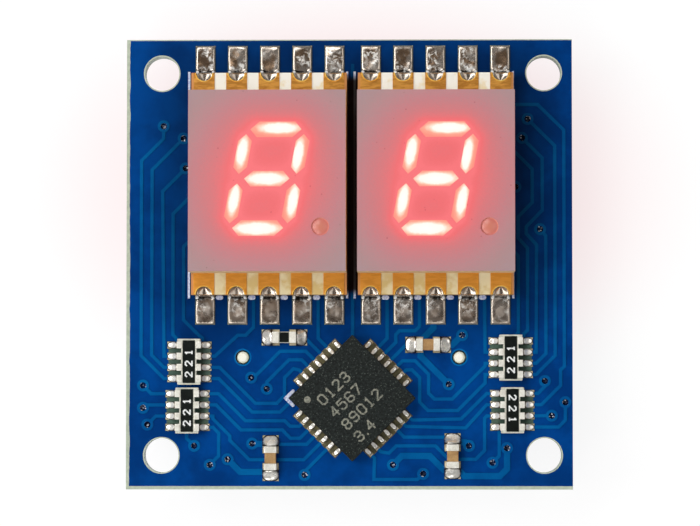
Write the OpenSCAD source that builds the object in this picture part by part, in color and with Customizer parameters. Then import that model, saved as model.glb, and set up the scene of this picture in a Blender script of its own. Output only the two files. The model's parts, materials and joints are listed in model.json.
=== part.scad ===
// Two digit seven segment display module on a small square board.
// The origin is on the board's underside, at the middle of the four mounting holes.
// X runs to the right as the digits are read, Y towards their tops, Z towards the reader.

/* [Board] */
// Width of the board, left to right
board_w = 20; // [19.6:0.1:22]
// Distance from the mounting holes' middle down to the board's bottom edge
board_below = 10.1; // [9.9:0.05:11]
// Distance from the upper pads' ends to the board's top edge
pad_margin = 0.29; // [0.2:0.01:1.2]
// Thickness of the board
board_t = 1; // [0.8:0.1:1.6]
// How far the outline's middle lies left of the middle of the mounting holes
outline_shift = 0.16; // [0:0.02:0.3]
// Distance between mounting holes, the same both ways
hole_spacing = 17.15; // [16.9:0.05:17.6]
// Diameter of the mounting holes
hole_d = 1.55; // [1.2:0.05:1.8]

/* [Copper] */
// Thickness of the copper on either face
copper_t = 0.035; // [0.018:0.001:0.07]
// Width of the signal traces
trace_w = 0.15; // [0.1:0.01:0.18]
// Width of the supply traces
supply_w = 0.28; // [0.2:0.01:0.32]
// Distance from the board's left edge to the outermost lane there
left_lane_edge = 0.67; // [0.5:0.01:0.8]
// Distance between neighbouring lanes on the left
left_lane_pitch = 0.475; // [0.4:0.005:0.5]
// Distance from the board's right edge to the outermost lane there
right_lane_edge = 0.37; // [0.3:0.01:0.45]
// Distance between neighbouring lanes on the right
right_lane_pitch = 0.41; // [0.35:0.005:0.45]
// Diameter of a via's ring
via_ring_d = 0.54; // [0.46:0.01:0.6]
// Diameter of a via's drilled hole
via_drill_d = 0.36; // [0.25:0.01:0.4]
// Thickness of the plating in a via's hole
via_wall = 0.04; // [0.02:0.005:0.08]

/* [Legend print] */
// Thickness of the ink over the copper
ink_t = 0.02; // [0.01:0.005:0.04]
// Width of the printed lines beside the displays
legend_line_w = 0.1; // [0.08:0.01:0.15]
// Distance from a display's side to the middle of its printed line
legend_gap = 0.08; // [0.04:0.01:0.12]
// How far a printed line reaches past a display's ends
legend_past = 0.14; // [0:0.02:0.3]
// How far the print lies left of the displays
legend_shift = 0.08; // [0:0.01:0.1]
// Length of an oval mark between the pads
oval_l = 0.33; // [0.25:0.01:0.45]
// Width of an oval mark
oval_w = 0.2; // [0.12:0.01:0.24]
// Length of each arm of the corner mark by the driver
corner_arm = 0.45; // [0.3:0.01:0.6]
// Width of an arm of the corner mark
corner_arm_w = 0.15; // [0.1:0.01:0.18]
// Distance from the driver's corner to the corner mark
corner_gap = 0.04; // [0.03:0.01:0.3]

/* [Displays] */
// Width of one display
display_w = 6.94; // [6.8:0.02:7.2]
// Length of a display's laminate base
display_l = 9.92; // [9.6:0.02:10.4]
// Gap between the two displays
display_gap = 0.5; // [0.3:0.02:0.6]
// Distance from the mounting holes' middle down to the displays' bottom edge
display_below = 1.41; // [1.3:0.01:1.5]
// Thickness of the laminate base
base_t = 0.9; // [0.6:0.05:1.2]
// How far the base reaches past the moulded housing at either end
ledge_l = 0.96; // [0.8:0.02:1.1]
// Height of the moulded housing above its base
housing_h = 2.15; // [1.8:0.05:2.6]
// Distance from a display's side to the middle of its outer terminal
terminal_side = 0.57; // [0.56:0.01:0.7]
// Width of a terminal's plate
terminal_w = 0.93; // [0.85:0.01:1]
// Thickness of the terminal plating
plate_t = 0.035; // [0.02:0.005:0.06]
// Radius of the half round notch in each terminal
notch_r = 0.4; // [0.3:0.01:0.44]
// Width of the pads under the terminals
display_pad_w = 0.86; // [0.8:0.01:1]
// How far those pads reach out past the base
display_pad_out = 1.3; // [1.1:0.01:1.4]
// How far those pads and the lower plates reach in under the base
display_pad_in = 0.55; // [0.45:0.01:0.8]
// Height of the solder on a display terminal
display_solder_h = 0.72; // [0.5:0.02:0.8]

/* [Digits] */
// Height between the middles of the top and bottom segments
digit_h = 4.35; // [4.2:0.05:4.6]
// Width between the middles of the left and right segments
digit_w = 2.54; // [2.5:0.02:2.8]
// Lean of the digit in degrees
slant = 10.5; // [0:0.5:12]
// How far the digit's middle lies above the housing's middle
digit_lift = 0.07; // [0:0.01:0.15]
// Thickness of the level segments
level_t = 0.68; // [0.5:0.01:0.75]
// Length of the top and bottom segments, tip to tip
level_l = 2.25; // [1.9:0.05:2.3]
// Length of the middle segment, tip to tip
middle_l = 2; // [1.7:0.05:2.1]
// Width of the upright segments
upright_t = 0.6; // [0.45:0.01:0.64]
// Length of the upright segments, tip to tip
upright_l = 1.75; // [1.5:0.05:1.8]
// Size of a light cup at its floor, against its size at the face
cup_floor = 0.8; // [0.6:0.02:0.95]
// Diameter of the decimal point at the face
point_d = 0.78; // [0.6:0.02:0.85]
// Place of the decimal point right of the housing's middle
point_x = 2.35; // [2.25:0.01:2.5]
// Place of the decimal point below the housing's middle
point_drop = 2.04; // [1.95:0.01:2.2]
// Width of a light die
die_w = 0.3; // [0.2:0.01:0.34]
// Height of a light die
die_h = 0.12; // [0.08:0.01:0.3]

/* [Driver] */
// Width of the driver's square body
driver_w = 4; // [3.9:0.05:4.2]
// Height of the driver's body
driver_h = 0.85; // [0.7:0.05:1]
// Place of the driver below the mounting holes' middle
driver_drop = 6.02; // [5.9:0.02:6.1]
// Turn of the driver in degrees
driver_turn = 45; // [43:0.5:47]
// Distance between the driver's terminals
driver_pitch = 0.4; // [0.36:0.01:0.42]
// Width of a driver terminal
driver_terminal_w = 0.2; // [0.16:0.01:0.24]
// Length of a driver terminal under the body
driver_terminal_l = 0.4; // [0.3:0.01:0.45]
// Thickness of a driver terminal
driver_terminal_t = 0.2; // [0.15:0.01:0.25]
// How far the driver's pads reach out past the body
driver_pad_out = 0.42; // [0.3:0.01:0.5]
// Width of the square thermal pad
thermal_w = 2.6; // [2.2:0.05:2.7]
// Height of the solder at a driver terminal
driver_solder_h = 0.17; // [0.1:0.01:0.2]

/* [Resistor arrays] */
// Length of an array's body
array_l = 2.05; // [1.95:0.01:2.12]
// Width of an array's body
array_w = 1.03; // [0.95:0.01:1.1]
// Height of an array's body
array_h = 0.4; // [0.3:0.01:0.5]
// Distance between an array's terminals
array_pitch = 0.5; // [0.46:0.01:0.52]
// Width of an array's terminal
array_terminal_w = 0.3; // [0.24:0.01:0.34]
// How far a terminal folds over the body's faces
array_fold = 0.21; // [0.1:0.01:0.24]
// Depth of the notches between an array's terminals
array_notch = 0.17; // [0.05:0.01:0.2]
// Gap between the overcoat and the folds
overcoat_gap = 0.03; // [0.01:0.01:0.05]
// How far the overcoat stays back from the body's ends
overcoat_back = 0.07; // [0.03:0.01:0.12]
// Thickness of the black overcoat
overcoat_t = 0.03; // [0.02:0.005:0.05]
// Width of an array and its pads together
array_span = 1.96; // [1.8:0.01:2.1]
// How far an array's pads reach in under the body
array_pad_in = 0.11; // [0.1:0.01:0.25]
// Height of the solder at an array's terminal
array_solder_h = 0.32; // [0.15:0.01:0.36]
// Place of the upper left array
upper_left_array = [-7.32, -4.39]; // [-9:0.01:9]
// Place of the lower left array
lower_left_array = [-7.4, -6.57]; // [-9:0.01:9]
// Place of the upper right array
upper_right_array = [7.07, -4.21]; // [-9:0.01:9]
// Place of the lower right array
lower_right_array = [7.14, -6.56]; // [-9:0.01:9]

/* [Chip parts] */
// Length of a chip resistor or capacitor
chip_l = 1; // [0.95:0.01:1.1]
// Width of a chip resistor or capacitor
chip_w = 0.5; // [0.45:0.01:0.6]
// Height of the chip resistor's body
resistor_h = 0.33; // [0.25:0.01:0.4]
// Height of a capacitor's body
capacitor_h = 0.48; // [0.4:0.01:0.55]
// Length of the metal at each end
band_l = 0.26; // [0.2:0.01:0.3]
// Thickness of the metal on the end
band_t = 0.03; // [0.02:0.005:0.05]
// Length over a chip part's two pads
chip_pad_span = 2.02; // [1.9:0.01:2.2]
// Gap between a chip part's two pads
chip_pad_gap = 0.45; // [0.4:0.01:0.55]
// Width of a chip part's pads
chip_pad_w = 0.7; // [0.62:0.01:0.8]
// Height of the solder at a chip part's end
chip_solder_h = 0.3; // [0.15:0.01:0.32]
// Place of the chip resistor
resistor_at = [-3.06, -3.3]; // [-9:0.01:9]
// Place of the level capacitor
level_capacitor_at = [3.38, -3.63]; // [-9:0.01:9]
// Place of the upright capacitor on the left
left_capacitor_at = [-3.67, -8.7]; // [-9:0.01:9]
// Place of the upright capacitor on the right
right_capacitor_at = [4.47, -8.61]; // [-9:0.01:9]

/* [Connector] */
// Length of the connector's housing
connector_l = 11; // [10.6:0.1:11.6]
// Width of the connector's housing
connector_w = 4.6; // [4.2:0.1:5]
// Height of the connector's housing
connector_h = 2.6; // [2.2:0.1:3.4]
// Place of the connector below the mounting holes' middle
connector_drop = 4.19; // [4.1:0.01:4.3]
// Place of the connector left of the mounting holes' middle
connector_left = 0.08; // [0:0.01:0.15]
// Thickness of the housing's wall on its long sides
connector_side_t = 0.75; // [0.5:0.05:0.9]
// Thickness of the housing's wall at its ends
connector_end_t = 0.9; // [0.6:0.05:1.2]
// Thickness of the housing's web between the cavity and the board
connector_web_t = 0.6; // [0.4:0.05:0.8]
// Width of the tongue that carries the contacts
tongue_w = 1; // [0.8:0.05:1.2]
// Gap between the tongue's ends and the end walls
tongue_gap = 0.7; // [0.5:0.05:0.9]
// How far the tongue stays back from the housing's mouth
tongue_back = 0.3; // [0.1:0.05:0.5]
// Contacts in each of the two rows
contact_count = 15; // [13:1:15]
// Distance between contacts
contact_pitch = 0.5; // [0.45:0.01:0.5]
// Width of a contact
contact_w = 0.2; // [0.15:0.01:0.24]
// Thickness of a contact
contact_t = 0.12; // [0.08:0.01:0.15]
// How far a contact's foot reaches out past the housing
foot_out = 0.5; // [0.3:0.05:0.7]
// How far a contact's blade stays back from the tongue's end
blade_back = 0.2; // [0.1:0.05:0.4]
// Distance between the two locating pegs
peg_spacing = 9.7; // [9.5:0.05:9.8]
// Diameter of a locating peg
peg_d = 0.52; // [0.4:0.01:0.65]
// Clearance round a peg in its hole, on the radius
peg_clearance = 0.06; // [0.05:0.005:0.15]
// Width and height of the slope round a peg's tip
peg_tip = 0.09; // [0.04:0.01:0.15]
// How far a peg's end stays below the board's top face
peg_back = 0.05; // [0:0.01:0.2]

/* [Hidden] */
$fn = 48;
SIDES = ["left", "right"];
SEGMENT_NAMES = ["a", "b", "c", "d", "e", "f", "g"];
DISPLAY_PARTS = ["substrate", "terminals", "housing", "led_dice", "solder"];

// Terminals along each end of a display, each side of the driver and each side of an array
terminal_count = 5;
driver_count = 7;
array_count = 4;

seat_z = board_t + copper_t;
terminal_pitch = (display_w - 2 * terminal_side) / (terminal_count - 1);
housing_l = display_l - 2 * ledge_l;
display_y = display_l / 2 - display_below;
board_above = display_l - display_below + display_pad_out + pad_margin;
board_left = -outline_shift - board_w / 2;
board_right = -outline_shift + board_w / 2;
display_pitch = display_w + display_gap;
base_top = plate_t + base_t;
driver_at = [0, -driver_drop];
connector_at = [-connector_left, -connector_drop];
connector_top = -copper_t - contact_t;
arrays = [upper_left_array, lower_left_array, upper_right_array, lower_right_array];
capacitors = [[level_capacitor_at, 0], [left_capacitor_at, 90], [right_capacitor_at, 90]];
resistor_place = [resistor_at, 0];
chip_parts = concat([resistor_place], capacitors);
chip_pad_l = (chip_pad_span - chip_pad_gap) / 2;
chip_pad_mid = (chip_pad_span + chip_pad_gap) / 4;
array_pad_end = array_w / 2 - array_fold - array_pad_in;
array_pad_mid = (array_span / 2 + array_pad_end) / 2;
// How far a trace runs straight out of a pad before it may turn
lead = 0.16;
// A bend closer than this to an end of its leg is left out
least_leg = 0.12;
// Extra depth of a cutting shape past the face that it cuts
over = 0.5;

// Vias, of which two lie hidden under the right display
vias = [
    [-8.5, 6.2], [-7.6, 5.65], [-7.5, 4.3], [7.85, 6.5], [7.6, 5.65],
    [7.3, 3.45], [8.4, 1.55], [4.9, -3.2], [from_left(0.76), -5.45], [from_left(0.76), -6.45],
    [from_left(0.96), -7.2], [-7.1, -8.15], [-6.4, -9], [-5.6, -8.75], [-4.5, -8.05],
    [-4.55, -5.1], [-3.85, -5.6], [-2.15, -9.45], [4.3, -5.4], [from_right(1.24), -5.25],
    [from_right(0.33), -6.2], [from_right(0.94), -6.8], [5.2, -8.15], [6.9, -8.25], [6.25, -8.9],
    [1.8, -9], [3.15, -9.4], [6.6, 1.2], [6.3, 6]
];
function from_left(d) = board_left + d;
function from_right(d) = board_right - d;

// Lanes count inwards from the board's edge
function left_lane(k) = board_left + left_lane_edge + k * left_lane_pitch;
function right_lane(k) = board_right - right_lane_edge - k * right_lane_pitch;

// Places of pads. A trace end is [point, direction in which the trace leaves, distance to the pad's edge].
function terminal_x(i) = (i - (terminal_count - 1) / 2) * terminal_pitch;
function display_x(side) = side * display_pitch / 2;
function gap_x(side, i) = display_x(side) + terminal_x(i + 0.5);
function display_out(side, row, i) =
    [[display_x(side) + terminal_x(i), display_y + row * display_l / 2], [0, row], display_pad_out];
function display_in(side, row, i) =
    [[display_x(side) + terminal_x(i), display_y + row * display_l / 2], [0, -row], display_pad_in];
function array_out(k, side, i) =
    [arrays[k] + [side * array_pad_mid, ((array_count - 1) / 2 - i) * array_pitch],
     [side, 0], array_span / 2 - array_pad_mid];
function array_edge(k, side, i, towards) =
    [array_out(k, side, i)[0], towards,
     towards.x == 0 ? array_terminal_w / 2 : array_pad_mid - array_pad_end];
function turned(v, angle) = [v.x * cos(angle) - v.y * sin(angle), v.x * sin(angle) + v.y * cos(angle)];
function chip_pad(part, end) = part[0] + turned([end * chip_pad_mid, 0], part[1]);
function chip_end(part, end, shift = [0, 0]) = [chip_pad(part, end) + shift, [0, 0], 0];
function driver_out(quarter, i) = let (
        out = turned([1, 0], driver_turn + quarter * 90),
        along = turned([0, 1], driver_turn + quarter * 90)
    ) [driver_at + out * driver_w / 2 + along * (i - (driver_count - 1) / 2) * driver_pitch,
       out, driver_pad_out];
function thermal_corner(quarter) =
    [driver_at, turned([1, 0], driver_turn + 45 + quarter * 90), thermal_w / sqrt(2)];
function via(k) = [vias[k], [0, 0], 0];

// A leg between two points is made of one straight and one slanted stretch.
// The slanted stretch comes last, or first where the point's third value is 1.
function toward(v, m) = [sign(v.x) * m, sign(v.y) * m];
function bend(a, b, slant_first) = let (
        v = [b.x - a.x, b.y - a.y],
        m = min(abs(v.x), abs(v.y))
    ) slant_first == 1 ? [a.x, a.y] + toward(v, m) : [b.x, b.y] - toward(v, m);
function legs(points) = [for (i = [0:len(points) - 1]) let (
        b = [points[i].x, points[i].y],
        a = i == 0 ? b : [points[i - 1].x, points[i - 1].y],
        c = bend(a, b, points[i].z)
    ) each (norm(c - a) > least_leg && norm(c - b) > least_leg ? [c, b] : [b])];
function leads(end) = end[1] == [0, 0] ? [end[0]] : [end[0], end[0] + end[1] * (end[2] + lead)];
function route(a, way, b, last = 0) = let (
        finish = leads(b),
        turn_in = [finish[len(finish) - 1].x, finish[len(finish) - 1].y, last]
    ) legs(concat(leads(a), way, [turn_in], len(finish) > 1 ? [finish[0]] : []));

// A ribbon follows its route with mitred corners.
function unit(v) = v / norm(v);
function left_of(v) = [-v.y, v.x];
function offset_at(p, i) = let (
        before = unit(p[max(i, 1)] - p[max(i, 1) - 1]),
        after = unit(p[min(i, len(p) - 2) + 1] - p[min(i, len(p) - 2)])
    ) left_of(before + after) / max(0.5, 1 + before * after);
module ribbon(p, w, h) {
    sides = [for (i = [0:len(p) - 1]) offset_at(p, i) * w / 2];
    linear_extrude(height = h)
        polygon(concat([for (i = [0:len(p) - 1]) p[i] + sides[i]],
                       [for (i = [len(p) - 1:-1:0]) p[i] - sides[i]]));
}

// Traces that come out from under the displays, and pass under the printed lines
L = -1;
R = 1;
TOP = 1;
BOTTOM = -1;
display_routes = [
    route(display_in(L, TOP, 0), [[left_lane(3), 2.25]], array_edge(0, L, 0, [0, 1])),
    route(display_in(L, TOP, 1), [[left_lane(4), 0.78], [-6.9, -3.2]], array_edge(0, R, 0, [0, 1])),
    route(display_in(L, TOP, 2), [[gap_x(L, 1), -0.5], [-4.8, -3.2], [-5.15, -3.2]], array_out(0, R, 1), 1),
    route(display_in(L, TOP, 3), [[gap_x(L, 3), -0.5]], driver_out(1, 1)),
    route([[0, 9], [0, 0], 0], [], thermal_corner(0)),
    route(display_in(R, TOP, 0), [[gap_x(R, 0), -0.5]], driver_out(0, 5)),
    route(display_in(R, TOP, 1), [[gap_x(R, 1), -0.5], [2.8, -3], [2.1, -3], [1.93, -3.18]],
        driver_out(0, 4)),
    route(display_in(R, TOP, 3), [[gap_x(R, 3), -0.5]], array_out(2, L, 1)),
    route(display_in(R, TOP, 4), [[7.6, 7.15, 1], [8.3, 7.15], [right_lane(0), 6, 1], [right_lane(0), -4.6],
        [9.3, -4.76], [9.3, -5.45]], array_out(3, R, 1), 1),
    route(via(27), [[right_lane(5), 0.35], [right_lane(5), -2.8]], array_edge(2, L, 0, [1, 0])),
    route(via(28), [[8.05, 4.25], [8.05, 2.75], [right_lane(5), 2.1], [right_lane(5), 1.15],
        [right_lane(4), 0.7]], array_edge(2, R, 0, [0, 1]))
];
// Traces beside the displays
lane_routes = [
    route(via(0), [[left_lane(0), 4.65]], array_out(0, L, 3)),
    route(via(1), [[left_lane(1), 4.23, 1]], array_out(0, L, 2)),
    route(via(2), [[left_lane(2), 3.26, 1]], array_out(0, L, 1)),
    route(via(3), [[right_lane(1), 5.3, 1]], array_out(2, R, 3)),
    route(via(4), [[8.5, 4.75], [8.5, 2.4], [7.78, 1.66], [7.78, 1.35], [right_lane(3), 0.85]],
        array_out(2, R, 1)),
    route(via(6), [[right_lane(2), 1.25]], array_out(2, R, 2))
];
// Traces between the driver, the arrays and the vias
driver_routes = [
    route(array_out(0, R, 2), [[-4.35, -6.25], [-3.4, -6.25], [-3.05, -5.9], [-3.05, -5.1], [-2.65, -4.7]],
        driver_out(1, 5)),
    route(array_out(0, R, 3), [[-4.5, -6.64], [-3.25, -6.64]], thermal_corner(1), 1),
    route(array_out(1, R, 0), [[-4.8, -7.03], [-3.05, -7.03], [-2.8, -7.27]], driver_out(2, 1)),
    route(array_out(1, R, 1), [[-5, -7.44], [-3.15, -7.44], [-2.78, -7.81]], driver_out(2, 2)),
    route(array_out(1, R, 2), [[-5.5, -7.7], [-5.5, -7.9], [-4.63, -8.77]], driver_out(2, 4)),
    route(array_out(1, R, 3), [[-6, -7.75, 1], [-6, -8.4]], via(12)),
    route(via(8), [], array_out(1, L, 0), 1),
    route(via(9), [], array_out(1, L, 1), 1),
    route(via(10), [], array_out(1, L, 2), 1),
    route(array_edge(1, L, 3, [1, 0]), [], via(11)),
    route(chip_end(capacitors[1], 1), [], driver_out(2, 3)),
    route(via(17), [], driver_out(2, 5)),
    route(via(15), [[-3.25, -3.92]], driver_out(1, 3)),
    route(via(16), [[-2.85, -4.3]], driver_out(1, 4)),
    route(chip_end(resistor_place, 1), [], driver_out(1, 2)),
    route(chip_end(capacitors[0], -1), [], driver_out(0, 3)),
    route(driver_out(0, 2), [[2.8, -4.35, 1], [3.4, -4.95], [3.4, -5.8], [3.66, -6.06], [4.45, -6.06]],
        array_out(2, L, 2), 1),
    route(driver_out(0, 1), [[2.65, -4.75], [3, -5.1], [3, -6.2], [3.37, -6.57], [4.7, -6.57]],
        array_out(2, L, 3), 1),
    route(driver_out(3, 6), [[4.85, -6.95]], array_out(3, L, 0), 1),
    route(driver_out(3, 5), [[5.05, -7.35, 1]], array_out(3, L, 1), 1),
    route(driver_out(3, 4), [[2.3, -7.76, 1], [3.9, -7.76]], chip_end(capacitors[2], 1)),
    route(array_out(3, L, 2), [[5.9, -7.06, 1], [5.9, -8.35], [5.5, -8.75], [4.3, -8.75], [3.7, -8.15],
        [1.95, -8.15], [1.62, -8.48]], driver_out(3, 1)),
    route(array_edge(3, L, 3, [0, -1]), [], via(24)),
    route(driver_out(3, 0), [[0.95, -9.65]], via(26)),
    route(via(19), [], array_out(3, R, 0)),
    route(via(21), [], array_out(3, R, 2)),
    route(via(20), [[from_right(0.33), -7]], array_out(3, R, 3), 1)
];
// Wider supply traces. The first leaves a display pad at a place given from the base's end.
pad_tap = [0.1, 0.9];
supply_routes = [
    route(via(14), [], chip_end(capacitors[1], 1)),
    route(via(13), [], chip_end(capacitors[1], -1), 1),
    route([display_out(R, BOTTOM, 2)[0] - pad_tap, [0, 0], 0], [], chip_end(capacitors[0], -1, [0.2, 0.1])),
    route(chip_end(capacitors[0], 1), [], via(7)),
    route(chip_end(capacitors[0], -1, [0.3, 0]), [[3.04, -4.14]], via(18)),
    route(chip_end(capacitors[2], 1), [], via(22)),
    route(via(25), [[2.2, -8.6], [3.45, -8.6]], chip_end(capacitors[2], -1), 1),
    route(chip_end(capacitors[2], -1), [[5, -9.5], [6.58, -9.5], [6.9, -9.18]], via(23))
];
signal_routes = concat(display_routes, lane_routes, driver_routes);

// A block whose middle lies over a point, standing on a height
module block(at, size) translate([at.x - size.x / 2, at.y - size.y / 2, at.z]) cube(size);

// A solder fillet that leaves a wall at x = 0 and thins out along +X
module fillet(w, l, h) {
    steps = 6;
    toe = h / 10;
    rotate([90, 0, 0])
        translate([0, 0, -w / 2])
            linear_extrude(height = w)
                polygon(concat([[0, 0], [l, 0]],
                    [for (i = [steps:-1:0]) [l * i / steps, toe + (h - toe) * pow(1 - i / steps, 2)]]));
}

// Circuit board with its mounting holes, peg holes and drilled vias
module circuit_board() color([0.01, 0.29, 0.55]) difference() {
    translate([board_left, -board_below, 0]) cube([board_w, board_below + board_above, board_t]);
    for (x = [-1, 1], y = [-1, 1])
        translate([x * hole_spacing / 2, y * hole_spacing / 2, -over])
            cylinder(d = hole_d, h = board_t + 2 * over);
    for (x = [-1, 1])
        translate([connector_at.x + x * peg_spacing / 2, connector_at.y, -over])
            cylinder(d = peg_d + 2 * peg_clearance, h = board_t + 2 * over);
    for (v = vias) translate([v.x, v.y, -over]) cylinder(d = via_drill_d, h = board_t + 2 * over);
}

// Pads without mask on the top face, given from their underside up to a height
module top_pads(z, h) {
    for (side = [L, R], row = [BOTTOM, TOP], i = [0:terminal_count - 1])
        block([display_x(side) + terminal_x(i),
               display_y + row * (display_l + display_pad_out - display_pad_in) / 2, z],
              [display_pad_w, display_pad_out + display_pad_in, h]);
    for (k = [0:3], side = [L, R], i = [0:array_count - 1]) {
        at = array_out(k, side, i)[0];
        block([at.x, at.y, z], [array_span / 2 - array_pad_end, array_terminal_w, h]);
    }
    for (part = chip_parts, end = [-1, 1])
        translate([chip_pad(part, end).x, chip_pad(part, end).y, z])
            rotate(part[1]) block([0, 0, 0], [chip_pad_l, chip_pad_w, h]);
    at_driver_terminals(z)
        block([(driver_pad_out - driver_terminal_l) / 2, 0, 0],
              [driver_pad_out + driver_terminal_l, driver_terminal_w, h]);
    translate([driver_at.x, driver_at.y, z]) rotate(driver_turn) block([0, 0, 0], [thermal_w, thermal_w, h]);
}

// Puts a shape at each of the driver's terminals, with +X pointing out of the body's side at x = 0
module at_driver_terminals(z)
    for (quarter = [0:3], i = [0:driver_count - 1])
        translate([driver_at.x, driver_at.y, z])
            rotate(driver_turn + quarter * 90)
                translate([driver_w / 2, (i - (driver_count - 1) / 2) * driver_pitch, 0]) children();

// Puts a shape at each contact of the connector, with +Y pointing out of the row
module at_contacts()
    for (row = [0, 1], i = [0:contact_count - 1])
        translate([connector_at.x, connector_at.y, 0])
            rotate(row * 180)
                translate([(i - (contact_count - 1) / 2) * contact_pitch, 0, 0]) children();

module bare_pads() color([0.8, 0.6, 0.3]) {
    top_pads(board_t, copper_t);
    at_contacts()
        block([0, connector_w / 2 + foot_out / 2, -copper_t], [contact_w, foot_out, copper_t]);
}

// Traces end at the pads and at the rings of the vias
module copper_traces() color([0.02, 0.36, 0.62]) difference() {
    translate([0, 0, board_t]) {
        for (p = signal_routes) ribbon(p, trace_w, copper_t);
        for (p = supply_routes) ribbon(p, supply_w, copper_t);
    }
    top_pads(board_t - over, 2 * over);
    for (v = vias) translate([v.x, v.y, board_t - over]) cylinder(d = via_ring_d, h = 2 * over);
}

// Vias: a plated barrel with a ring on either face
module vias() color([0.02, 0.3, 0.52])
    for (v = vias)
        translate([v.x, v.y, 0])
            rotate_extrude()
                polygon([
                    [via_drill_d / 2 - via_wall, -copper_t], [via_ring_d / 2, -copper_t], [via_ring_d / 2, 0],
                    [via_drill_d / 2, 0], [via_drill_d / 2, board_t], [via_ring_d / 2, board_t],
                    [via_ring_d / 2, board_t + copper_t], [via_drill_d / 2 - via_wall, board_t + copper_t]
                ]);

// Printed marks lie on the board and pass over the traces
module legend_marks() color([0.9, 0.92, 0.9]) difference() {
    translate([0, 0, board_t]) {
        for (side = [L, R], edge = [-1, 1])
            block([display_x(side) - legend_shift + edge * (display_w / 2 + legend_gap), display_y, 0],
                  [legend_line_w, display_l + 2 * legend_past, copper_t + ink_t]);
        for (side = [L, R], i = [0:terminal_count - 2])
            translate([gap_x(side, i) - legend_shift, display_y - display_l / 2 - oval_w / 2, 0])
                oval_mark();
        corner_mark();
    }
    translate([0, 0, board_t]) for (p = signal_routes) ribbon(p, trace_w, copper_t);
    translate([0, 0, board_t]) for (p = supply_routes) ribbon(p, supply_w, copper_t);
    for (v = vias) translate([v.x, v.y, board_t]) cylinder(d = via_ring_d, h = copper_t);
    top_pads(board_t, copper_t + ink_t);
}

module oval_mark() {
    straight = oval_l - oval_w;
    block([0, 0, 0], [straight, oval_w, copper_t + ink_t]);
    for (end = [-1, 1]) translate([end * straight / 2, 0, 0]) cylinder(d = oval_w, h = copper_t + ink_t);
}

// The corner mark wraps round the driver's left corner
module corner_mark() {
    corner = driver_w / 2 + corner_gap + corner_arm_w / 2;
    ends = [[corner, corner - corner_arm], [corner - corner_arm, corner]];
    translate(driver_at) rotate(driver_turn + 90) {
        ribbon([ends[0], [corner, corner], ends[1]], corner_arm_w, copper_t + ink_t);
        for (end = ends) translate(end) cylinder(d = corner_arm_w, h = copper_t + ink_t);
    }
}

// One display, with its own origin on top of the board's pads
module at_display(side) translate([display_x(side), display_y, seat_z]) children();

// Puts a shape at each terminal, with y = 0 at the base's end and +Y pointing outwards
module at_terminals()
    for (row = [0, 1], i = [0:terminal_count - 1])
        rotate(row * 180) translate([terminal_x(i), display_l / 2, 0]) children();

module substrate(side) color([0.86, 0.8, 0.62]) at_display(side) difference() {
    block([0, 0, plate_t], [display_w, display_l, base_t]);
    at_terminals() cylinder(r = notch_r, h = 2 * base_top);
}

module half_post(r, h) intersection() {
    cylinder(r = r, h = h);
    translate([-r, -r, 0]) cube([2 * r, r, h]);
}

module terminals(side) color([0.83, 0.62, 0.3]) at_display(side) at_terminals() difference() {
    union() {
        translate([-terminal_w / 2, -ledge_l, base_top]) cube([terminal_w, ledge_l, plate_t]);
        translate([-terminal_w / 2, -display_pad_in, 0]) cube([terminal_w, display_pad_in, plate_t]);
        half_post(notch_r, base_top + plate_t);
    }
    translate([0, 0, -over]) cylinder(r = notch_r - plate_t, h = base_top + 2 * over);
}

module display_solder(side) color([0.75, 0.75, 0.76]) at_display(side) at_terminals() {
    half_post(notch_r - plate_t, display_solder_h);
    rotate(90) fillet(display_pad_w, display_pad_out, display_solder_h);
}

// Outline of a segment about its own middle, pointed at both ends and leaning with the digit
function leaning(points) = [for (p = points) [p.x + p.y * tan(slant), p.y]];
function bar(l, t) = [[-l / 2, 0], [-l / 2 + t / 2, -t / 2], [l / 2 - t / 2, -t / 2],
                      [l / 2, 0], [l / 2 - t / 2, t / 2], [-l / 2 + t / 2, t / 2]];
function stood(points) = [for (p = points) [-p.y, p.x]];
function segment_outline(k) = leaning(
    k == 6 ? bar(middle_l, level_t) : k % 3 == 0 ? bar(level_l, level_t) : stood(bar(upright_l, upright_t))
);
// Middles of segments a to g about the digit's middle, before the lean
segment_middles = [
    [0, digit_h / 2], [digit_w / 2, digit_h / 4], [digit_w / 2, -digit_h / 4], [0, -digit_h / 2],
    [-digit_w / 2, -digit_h / 4], [-digit_w / 2, digit_h / 4], [0, 0]
];
function segment_middle(k) = leaning([segment_middles[k]])[0] + [0, digit_lift];
point_middle = [point_x, -point_drop];

// The light cups widen from the floor of the housing to its face
module segment_cup(k)
    translate([segment_middle(k).x, segment_middle(k).y, base_top])
        linear_extrude(height = housing_h, scale = 1 / cup_floor) polygon(cup_floor * segment_outline(k));
module point_cup()
    translate([point_middle.x, point_middle.y, base_top])
        cylinder(d1 = point_d * cup_floor, d2 = point_d, h = housing_h);
module die(middle) block([middle.x, middle.y, base_top], [die_w, die_w, die_h]);

module housing(side) color([0.75, 0.68, 0.68]) at_display(side) difference() {
    block([0, 0, base_top], [display_w, housing_l, housing_h]);
    for (k = [0:6]) segment_cup(k);
    point_cup();
}

module segment(side, k) color([1, 0.75, 0.65]) at_display(side) difference() {
    segment_cup(k);
    die(segment_middle(k));
}

module decimal_point(side) color([0.82, 0.6, 0.56]) at_display(side) difference() {
    point_cup();
    die(point_middle);
}

module led_dice(side) color([0.5, 0.1, 0.1]) at_display(side) {
    for (k = [0:6]) die(segment_middle(k));
    die(point_middle);
}

// Driver: a leadless package with terminals flush in its underside
module driver_terminal(h) block([-driver_terminal_l / 2, 0, 0], [driver_terminal_l, driver_terminal_w, h]);
module thermal_block(z, h)
    translate([driver_at.x, driver_at.y, z]) rotate(driver_turn) block([0, 0, 0], [thermal_w, thermal_w, h]);

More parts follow.
